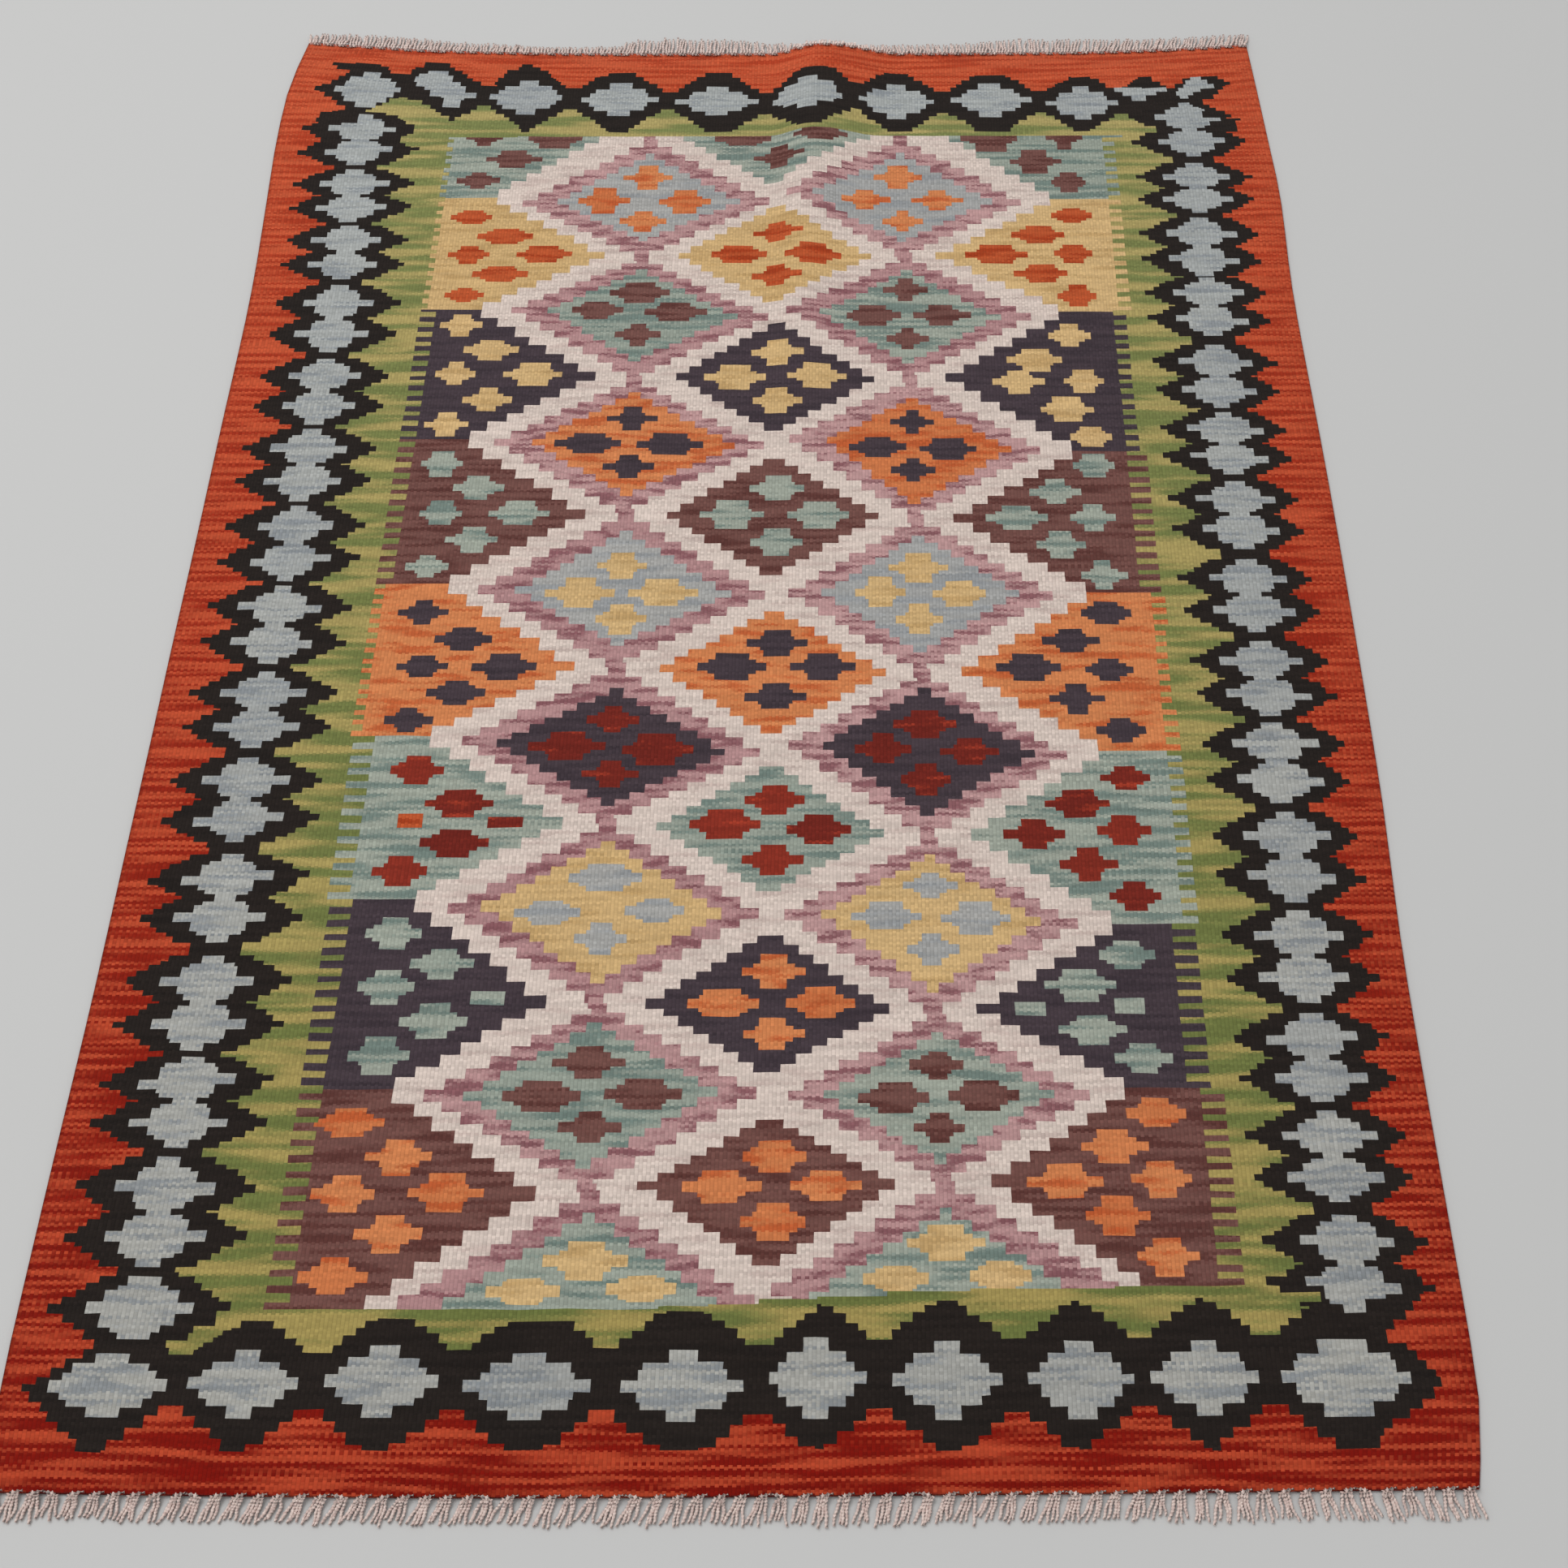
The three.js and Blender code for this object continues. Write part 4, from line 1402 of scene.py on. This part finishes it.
@dataclass(frozen=True)
class WeaveFinish:
    """The weft-faced weave: each warp shows as a rib, and each pick as a grain on every other rib.

    Lengths are in metres. The dyes come from the cloth's faces and the weave from its own length
    and width, so that it follows the cloth.
    """

    warp: float = 0.0029
    grain: float = 0.0022
    stagger: float = 0.5  # how far the next rib's grains lie along, as a share of one
    relief: float = 0.0004
    relief_strength: float = 0.8
    lot_shift: float = 97.0  # how far apart the streaks of two dye lots are drawn
    no_streaks: float = 0.71  # the noise at which a streak would start with a share of nought,
    share_pull: float = -0.42  # and how a greater share moves it
    softness: float = 0.085  # how gradually a streak sets in
    tint_rates: tuple[float, float] = (26.0, 7.31)  # how fast the picks' tint varies, across and by pick
    tint_noise: tuple[float, float] = (0.25, 0.75)  # the noise that is spread over the tint's range
    tint: tuple[float, float] = (0.9, 1.1)
    speck: tuple[float, float] = (0.16, 0.92)  # a grain's own brightness: its range and its least
    rib_round: float = 0.6
    bead_round: float = 0.5
    bead: tuple[float, float] = (0.45, 0.55)  # a grain's height on its rib: its range and its least
    valley_painted_shade: float = 0.85  # painted shade: the brightness in the valleys between two ribs, which stand in shade
    full_light: float = 0.75  # height from which the weave has its full brightness, free of the painted valley shade
    fuzz_rates: tuple[float, float] = (900.0, 2600.0)
    fuzz: float = 0.25
    roughness: float = 0.95
    specular: float = 0.08
    sheen: float = 0.04
    sheen_roughness: float = 0.5

    def build(self) -> bpy.types.Material:
        """Makes the material.

        Returns:
            The material.
        """
        material = bpy.data.materials.new("dyed_wool_weave")
        material.use_nodes = True
        w = Wiring(material.node_tree)
        weave, run, dye, streak = (
            w.add("ShaderNodeAttribute", attribute_name=name)
            for name in ("weave", "dye_run", "dye", "dye_streak")
        )
        place, run = (w.add("ShaderNodeSeparateXYZ", {0: node.outputs["Vector"]}) for node in (weave, run))
        across, along = place.outputs[0], place.outputs[1]
        lot = w.math("MULTIPLY", dye.outputs["Alpha"], self.lot_shift)

        # The ribs across, the grains along, and the pick that each grain belongs to.
        ribs = w.math("DIVIDE", across, self.warp)
        odd = w.math("FLOORED_MODULO", w.math("FLOOR", ribs), 2.0)
        grains = w.math("ADD", w.math("DIVIDE", along, self.grain), w.math("MULTIPLY", odd, self.stagger))
        row = w.math("FLOOR", grains)
        pick = w.math("SUBTRACT", row, w.math("MULTIPLY", odd, self.stagger))
        pick_at = w.math("MULTIPLY", pick, self.grain)

        # The dye, streaked along the picks.
        drift = w.noise(w.vector(w.math("MULTIPLY", across, run.outputs[0]),
                                 w.math("MULTIPLY", pick_at, run.outputs[1]), lot), detail=2)
        start = w.math("MULTIPLY_ADD", run.outputs[2], self.share_pull, self.no_streaks)
        streaked = w.span(drift, w.math("SUBTRACT", start, self.softness),
                          w.math("ADD", start, self.softness))
        colour = w.mix(w.math("MULTIPLY", streaked, streak.outputs["Alpha"]),
                       dye.outputs["Color"], streak.outputs["Color"])

        # The tone of each pick and grain, and a painted shade that darkens the valleys between the ribs and
        # the grains.
        by_pick = w.vector(*w.scaled((across, pick), self.tint_rates), lot)
        pick_tint = w.span(w.noise(by_pick), *self.tint_noise, self.tint)
        speck = w.add("ShaderNodeTexWhiteNoise", {"Vector": w.vector(w.math("FLOOR", ribs), row)},
                      noise_dimensions="2D").outputs[0]
        grain_tint = w.math("MULTIPLY_ADD", speck, *self.speck)
        rib, bead = (
            w.math("POWER", w.math("ABSOLUTE", w.math("SINE", w.math("MULTIPLY", turns, math.pi))), power)
            for turns, power in ((ribs, self.rib_round), (grains, self.bead_round))
        )
        height = w.math("MULTIPLY", rib, w.math("MULTIPLY_ADD", bead, *self.bead))
        # painted shade: the weave is darker where it is low, between the ribs and the grains, as if in shade
        shade = w.math("MULTIPLY", w.math("MULTIPLY", pick_tint, grain_tint),
                       w.span(height, 0.0, self.full_light, (self.valley_painted_shade, 1.0)))
        base = w.mix(1.0, colour, w.vector(shade, shade, shade), "MULTIPLY")

        fuzz_place = w.vector(*w.scaled((across, along), self.fuzz_rates))
        bump = w.add("ShaderNodeBump", {
            "Strength": self.relief_strength, "Distance": self.relief,
            "Height": w.math("MULTIPLY_ADD", w.noise(fuzz_place, detail=2), self.fuzz, height),
        })
        shader = w.add("ShaderNodeBsdfPrincipled", {
            "Base Color": base, "Roughness": self.roughness, "Specular IOR Level": self.specular,
            "Sheen Weight": self.sheen, "Sheen Roughness": self.sheen_roughness, "Normal": bump.outputs[0],
        })
        w.add("ShaderNodeOutputMaterial", {"Surface": shader.outputs[0]})
        return material


@dataclass(frozen=True)
class CottonFinish:
    """The undyed warps at the ends: soft pale cotton, a little mottled."""

    shade: tuple[int, int, int] = (238, 218, 209)
    shadow: tuple[int, int, int] = (214, 188, 180)
    mottle: float = 420  # mottles in a metre, and
    mottled: tuple[float, float] = (0.35, 0.7)  # the noise between which the shadow sets in
    fibres: float = 2400  # the same of the bump
    relief: float = 0.0003
    relief_strength: float = 0.5
    roughness: float = 0.95
    specular: float = 0.15
    sheen: float = 0.2

    def build(self) -> bpy.types.Material:
        """Makes the material.

        Returns:
            The material.
        """
        material = bpy.data.materials.new("warp_cotton")
        material.use_nodes = True
        w = Wiring(material.node_tree)
        place = w.add("ShaderNodeTexCoord").outputs["Object"]
        share = w.span(w.noise(place, self.mottle, 2), *self.mottled)
        colour = w.mix(share, (*linear(self.shade), 1), (*linear(self.shadow), 1))
        bump = w.add("ShaderNodeBump", {
            "Strength": self.relief_strength, "Distance": self.relief,
            "Height": w.noise(place, self.fibres, 2),
        })
        shader = w.add("ShaderNodeBsdfPrincipled", {
            "Base Color": colour, "Roughness": self.roughness, "Specular IOR Level": self.specular,
            "Sheen Weight": self.sheen, "Normal": bump.outputs[0],
        })
        w.add("ShaderNodeOutputMaterial", {"Surface": shader.outputs[0]})
        return material


# ---- Fringe ----


BUNDLE_SEEDS = 5  # how far apart the seeds of two bundles are, and of the two ends
END_SEEDS = 1000


class Draw(IntEnum):
    """What an uneven number is drawn for: each has its own offset to the seed."""

    BOW = 9
    THICKNESS = 31
    BUNDLE = 50
    ROOT = 70
    LIFT = 77
    KNOT = 300
    REACH = 500


@dataclass
class Fringe:
    """The fringe at one end: knotted bundles of warps, each with its loose strands.

    Lengths are in millimetres. The strands follow lines that are drawn here, and Geometry Nodes
    makes them into twisted two-ply strands.
    """

    name: str
    lie: ClothLie
    end: float  # distance of its edge from the cloth's far edge
    outward: int  # 1 at the far end, -1 at the near end
    rows: tuple[tuple[float, float, float], ...]  # place from the left, and the strands' length and lean
    over: float = 1  # how far in over the cloth its knots lie
    root_spread: float = 2.6
    tip_spread: float = 5.4
    knots: int = 72
    strands: int = 4  # of each knot
    seam_gap: float = 0.3
    knot_wide: float = 3.4
    knot_shift: float = 0.9  # how far a knot may be out of its place
    knot_half: float = 1.6
    knot_lifts: tuple = (0.2, 0.7, 0.2)  # heights and thicknesses along a knot,
    knot_thick: tuple = (0.8, 1.35, 0.8)
    lead_in: float = 6.5  # how far a bundle's warps are drawn along the edge into its knot,
    lead_back: float = 1.6  # how far in they start,
    lead_lift: float = 0.4  # how high they end, and how far they bulge on the way
    lead_bulge: float = 0.5
    lead_thick: tuple = (0.7, 1.0, 1.2)
    turned: tuple = (7, 3)  # one bundle in so many, and which, is drawn in from the other side
    root_at: tuple = (0.6, 0.5)  # how far past the knots' middle the strands start, and its spread
    length_spread: tuple = (0.95, 0.11, 0.06)  # usual share of the length, a strand's spread and a bundle's
    reach_spread: float = 1.5
    drop: tuple = (0.8, 6.5)  # where past the cloth's edge the strands sink to the floor, and over how far
    clear: float = 0.1  # how far they lie over the floor
    sink: float = 0.2  # how far they press into the cloth, as a share of their radius
    bow: float = 0.9  # how far a strand may bow sideways,
    ripple: tuple = (0.35, 9)  # how far and how quickly it ripples,
    lift: float = 0.5  # and how far its middle may rise off the floor
    thick_spread: float = 0.12
    strand_radius: float = 1.5
    points: int = 9
    sides: int = 8
    turns: float = 3  # of the two plies, from root to tip
    groove: float = 0.16  # depth between the two plies, as a share of the radius
    taper: float = 0.25
    seed: int = 7

    def lines(self) -> tuple[np.ndarray, list[tuple[int, int]], np.ndarray]:
        """Draws the middle line of each strand, knot and lead-in.

        Returns:
            The points, the edges between them, and each point's thickness as a share of a strand.
        """
        length_at = curve_through([(place, length) for place, length, _ in self.rows])
        lean_at = curve_through([(place, lean) for place, _, lean in self.rows])
        usual, by_strand, by_bundle = self.length_spread
        root_past, root_vary = self.root_at
        pitch = self.lie.width / self.knots
        points: list[np.ndarray] = []
        edges: list[tuple[int, int]] = []
        thick: list[float] = []

        def draw(line: np.ndarray, widths: Sequence[float]) -> None:
            """Adds one line.

            Args:
                line: its points.
                widths: its thickness at each.
            """
            start = len(thick)
            points.extend(line)
            thick.extend(widths)
            edges.extend((start + i, start + i + 1) for i in range(len(line) - 1))

        for knot in range(self.knots):
            from_left = (knot + 0.5) * pitch
            edge = self.lie.place(from_left, self.end)
            top = edge[2] + self.lie.thickness + self.lie.ripple
            past = self.seam_gap + self.knot_wide / 2 - self.over

            def at(x: float, past_edge: float, lift: float = 0) -> np.ndarray:
                """Gives a place beside the knot, on the cloth or past its edge."""
                return np.array([x, edge[1] + self.outward * past_edge, self.height(past_edge, top) + lift])

            middle = edge[0] + self.knot_shift * uneven(knot + Draw.KNOT + self.seed)
            side = 1 if knot % self.turned[0] != self.turned[1] else -1
            start = at(edge[0] + side * self.lead_in, past - self.lead_back)
            heart = at(middle, past, self.lead_lift)
            draw(np.array([start, (start + heart) / 2 + [0, 0, self.lead_bulge], heart]), self.lead_thick)
            across = (middle - self.knot_half, middle, middle + self.knot_half)
            draw(np.array([at(x, past, lift) for x, lift in zip(across, self.knot_lifts)]), self.knot_thick)
            for strand in range(self.strands):
                share = 2 * strand / (self.strands - 1) - 1
                seed = knot * BUNDLE_SEEDS + strand + END_SEEDS * self.seed
                length = float(length_at(from_left)) * (
                    usual + by_strand * uneven(seed) + by_bundle * uneven(knot + Draw.BUNDLE))
                reach = share * self.tip_spread + float(lean_at(from_left)) \
                    + self.reach_spread * uneven(seed + Draw.REACH)
                root = (middle + share * self.root_spread,
                        past + root_past + root_vary * uneven(seed + Draw.ROOT))
                tip = (edge[0] + reach, self.seam_gap + length)
                draw(*self.strand(root, tip, edge[1], top, seed))
        return np.array(points), edges, np.array(thick)

    def height(self, past_edge: float | np.ndarray, top: float) -> float | np.ndarray:
        """Gives the height of a strand's middle on the cloth, past its edge and on the floor.

        Args:
            past_edge: distance past the cloth's edge, below nought on the cloth.
            top: height of the cloth's upper face there.

        Returns:
            The height over the floor.
        """
        t = np.clip((past_edge - self.drop[0]) / self.drop[1], 0, 1)
        on_cloth = top - self.sink * self.strand_radius
        return self.strand_radius + self.clear + on_cloth * (1 - t * t * (3 - 2 * t))

    def strand(self, root: tuple[float, float], tip: tuple[float, float], edge: float, top: float,
               seed: int) -> tuple[np.ndarray, np.ndarray]:
        """Draws one loose strand, from its knot down onto the floor.

        Args:
            root: where it leaves its knot: its x, and its distance past the cloth's edge.
            tip: its end, the same way.
            edge: the y of the cloth's edge.
            top: height of the cloth's upper face there.
            seed: the seed of its waviness.

        Returns:
            The points along it and its thickness at each.
        """
        t = np.linspace(0, 1, self.points)
        x = root[0] + (tip[0] - root[0]) * t
        x += self.bow * uneven(seed + Draw.BOW) * np.sin(t * math.pi) \
            + self.ripple[0] * np.sin(t * self.ripple[1] + seed)
        past = root[1] + (tip[1] - root[1]) * t
        thick = (1 - self.taper * t ** 3) * (1 + self.thick_spread * uneven(seed + Draw.THICKNESS))
        z = self.height(past, top) - self.strand_radius * (1 - thick) * (t > 0.5)
        z += self.lift * abs(uneven(seed + Draw.LIFT)) * np.sin(t * math.pi) ** 2
        return np.stack([x, edge + self.outward * past, z], axis=-1), thick

    def build(self, material: bpy.types.Material) -> bpy.types.Object:
        """Grows the fringe.

        Args:
            material: its finish.

        Returns:
            The object, in the frame.
        """
        points, edges, thick = self.lines()
        guide = bpy.data.meshes.new(self.name + "_lines")
        guide.from_pydata((points * MM).tolist(), edges, [])
        guide.attributes.new("thick", "FLOAT", "POINT").data.foreach_set("value", thick.astype(np.float32))
        grower = bpy.data.objects.new(self.name + "_grower", guide)
        bpy.context.scene.collection.objects.link(grower)
        tree = self.tree()
        modifier = grower.modifiers.new("fringe", "NODES")
        modifier.node_group = tree
        sizes = {"Strand Radius": self.strand_radius * MM, "Groove": self.groove, "Turns": self.turns,
                 "Sides": self.sides, "Seed": self.seed, "Cotton": material}
        for item in tree.interface.items_tree:
            if item.item_type == "SOCKET" and item.in_out == "INPUT" and item.name in sizes:
                modifier[item.identifier] = sizes[item.name]
        bpy.context.view_layer.update()
        graph = bpy.context.evaluated_depsgraph_get()
        mesh = bpy.data.meshes.new_from_object(grower.evaluated_get(graph), depsgraph=graph)
        mesh.name = self.name
        bpy.data.objects.remove(grower)
        row = bpy.data.objects.new(self.name, mesh)
        bpy.context.scene.collection.objects.link(row)
        log.info("%s: %d faces", self.name, len(mesh.polygons))
        return row

    def tree(self) -> bpy.types.NodeTree:
        """Makes the node tree that turns lines into twisted strands.

        Returns:
            The tree.
        """
        tree = bpy.data.node_groups.new(self.name + "_tree", "GeometryNodeTree")
        face = tree.interface
        face.new_socket("Geometry", in_out="INPUT", socket_type="NodeSocketGeometry")
        for name, kind in (("Strand Radius", "Float"), ("Groove", "Float"), ("Turns", "Float"),
                           ("Sides", "Int"), ("Seed", "Int"), ("Cotton", "Material")):
            face.new_socket(name, in_out="INPUT", socket_type="NodeSocket" + kind)
        face.new_socket("Geometry", in_out="OUTPUT", socket_type="NodeSocketGeometry")
        w = Wiring(tree)
        given = w.add("NodeGroupInput").outputs
        curves = w.add("GeometryNodeMeshToCurve", {"Mesh": given["Geometry"]})
        thick = w.add("GeometryNodeInputNamedAttribute", {"Name": "thick"}, data_type="FLOAT")
        along = w.add("GeometryNodeSplineParameter")
        which = w.add("GeometryNodeCurveOfPoint")
        phase = w.add("FunctionNodeRandomValue", {"ID": which.outputs["Curve Index"], "Seed": given["Seed"]},
                      data_type="FLOAT")
        turns = w.math("MULTIPLY_ADD", along.outputs["Factor"], given["Turns"], phase.outputs[1])
        turn = w.math("MULTIPLY", turns, 2 * math.pi)
        tilted = w.add("GeometryNodeSetCurveTilt", {"Curve": curves.outputs[0], "Tilt": turn})
        circle = w.add("GeometryNodeCurvePrimitiveCircle", {
            "Resolution": given["Sides"], "Radius": given["Strand Radius"],
        })
        place = w.add("GeometryNodeInputPosition")
        side = w.add("ShaderNodeSeparateXYZ", {0: place.outputs[0]})
        lobe = w.math("ABSOLUTE", w.math("DIVIDE", side.outputs[0], given["Strand Radius"]))
        pinch = w.math("SUBTRACT", 1.0, w.math("MULTIPLY", w.math("SUBTRACT", 1.0, lobe), given["Groove"]))
        pinched = w.add("ShaderNodeVectorMath", {0: place.outputs[0], 3: pinch}, operation="SCALE")
        section = w.add("GeometryNodeSetPosition", {
            "Geometry": circle.outputs[0], "Position": pinched.outputs[0],
        })
        body = w.add("GeometryNodeCurveToMesh", {
            "Curve": tilted.outputs[0], "Profile Curve": section.outputs[0], "Scale": thick.outputs[0],
            "Fill Caps": True,
        })
        smooth = w.add("GeometryNodeSetShadeSmooth", {"Geometry": body.outputs[0]})
        real = w.add("GeometryNodeRealizeInstances", {"Geometry": smooth.outputs[0]})
        dressed = w.add("GeometryNodeSetMaterial", {"Geometry": real.outputs[0], "Material": given["Cotton"]})
        w.add("NodeGroupOutput", {"Geometry": dressed.outputs[0]})
        return tree


# ---- Studio ----


@dataclass(frozen=True)
class Studio:
    """A plain pale floor, soft light from above, and the camera. Lengths are in metres."""

    floor_size: float = 9
    floor_drop: float = 0.0003
    floor_shade: tuple[int, int, int] = (196, 196, 195)
    floor_roughness: float = 0.9
    camera_at: tuple[float, float, float] = (0.09375, -1.05245, 1.34011)
    camera_turn: tuple[float, float, float] = (31.825, 0.128, -0.061)  # degrees about x, y and z
    lens: float = 44.88  # millimetres, and so is the sensor's width
    sensor: float = 36
    shift: tuple[float, float] = (-0.0510, 0.0219)
    seen: tuple[float, float] = (0.05, 50)  # from how near to how far
    key_at: tuple[float, float, float] = (-1.5, 0.6, 4.2)
    key_size: float = 3
    key_power: float = 90
    sky: float = 0.62

    def build(self) -> None:
        """Sets up the floor, the lights and the camera."""
        scene = bpy.context.scene
        half = self.floor_size / 2
        mesh = bpy.data.meshes.new("floor")
        corners = ((-half, -half), (half, -half), (half, half), (-half, half))
        mesh.from_pydata([(x, y, -self.floor_drop) for x, y in corners], [], [(0, 1, 2, 3)])
        paint = bpy.data.materials.new("floor_paint")
        paint.use_nodes = True
        shader = next(node for node in paint.node_tree.nodes if node.type == "BSDF_PRINCIPLED")
        shader.inputs["Base Color"].default_value = (*linear(self.floor_shade), 1)
        shader.inputs["Roughness"].default_value = self.floor_roughness
        mesh.materials.append(paint)
        floor = bpy.data.objects.new("floor", mesh)
        scene.collection.objects.link(floor)

        lamp = bpy.data.lights.new("key", "AREA")
        lamp.shape, lamp.size, lamp.energy = "DISK", self.key_size, self.key_power
        key = bpy.data.objects.new("key", lamp)
        key.location = self.key_at
        key.rotation_euler = (-Vector(self.key_at)).to_track_quat("-Z", "Y").to_euler()
        scene.collection.objects.link(key)
        world = bpy.data.worlds.new("studio")
        world.use_nodes = True
        background = world.node_tree.nodes["Background"].inputs
        background["Color"].default_value, background["Strength"].default_value = (1, 1, 1, 1), self.sky
        scene.world = world
        scene.view_settings.view_transform = "Standard"

        lens = bpy.data.cameras.new("camera")
        lens.lens, lens.sensor_width = self.lens, self.sensor
        lens.shift_x, lens.shift_y = self.shift
        lens.clip_start, lens.clip_end = self.seen
        camera = bpy.data.objects.new("camera", lens)
        camera.location = self.camera_at
        camera.rotation_euler = [math.radians(angle) for angle in self.camera_turn]
        scene.collection.objects.link(camera)
        scene.camera = camera


# ---- The rug ----

FAR_ROWS = (
    (0, 15, -1), (80, 20, 0), (180, 14, 1), (320, 12, 0), (350, 23, 1),
    (430, 24, -1), (480, 19, 0), (560, 14, 0), (640, 14, -1),
    (700, 17, 1), (770, 23, 1), (850, 20, 6), (1000, 18, 6),
)
NEAR_ROWS = (
    (0, 18, -2), (120, 17, -5), (380, 18, -6), (560, 19, -3),
    (720, 18, -5), (840, 19, 1), (920, 19, 5), (1000, 19, 4),
)


def main() -> None:
    """Builds the rug and its studio."""
    logging.basicConfig(level=logging.INFO, format="%(name)s: %(message)s")
    lie = ClothLie()
    lie.register(*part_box(CLOTH_NODE))
    chart = Chart(lie)
    Border(chart).weave()
    Field(chart).weave()
    cloth = ClothSheet(chart).build()
    cloth.data.materials.append(WeaveFinish().build())
    cotton = CottonFinish().build()
    far = Fringe("far_strands", lie, 0, 1, FAR_ROWS, over=6.5, root_spread=4.6, seed=3).build(cotton)
    near = Fringe("near_strands", lie, lie.length, -1, NEAR_ROWS, seed=7).build(cotton)
    for piece, node, finish in (
        (cloth, CLOTH_NODE, WOOL_SLOT), (far, FAR_NODE, COTTON_SLOT), (near, NEAR_NODE, COTTON_SLOT),
    ):
        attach(piece, "root")
        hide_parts(node)
    Studio().build()
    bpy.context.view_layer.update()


if __name__ == "__main__":
    main()
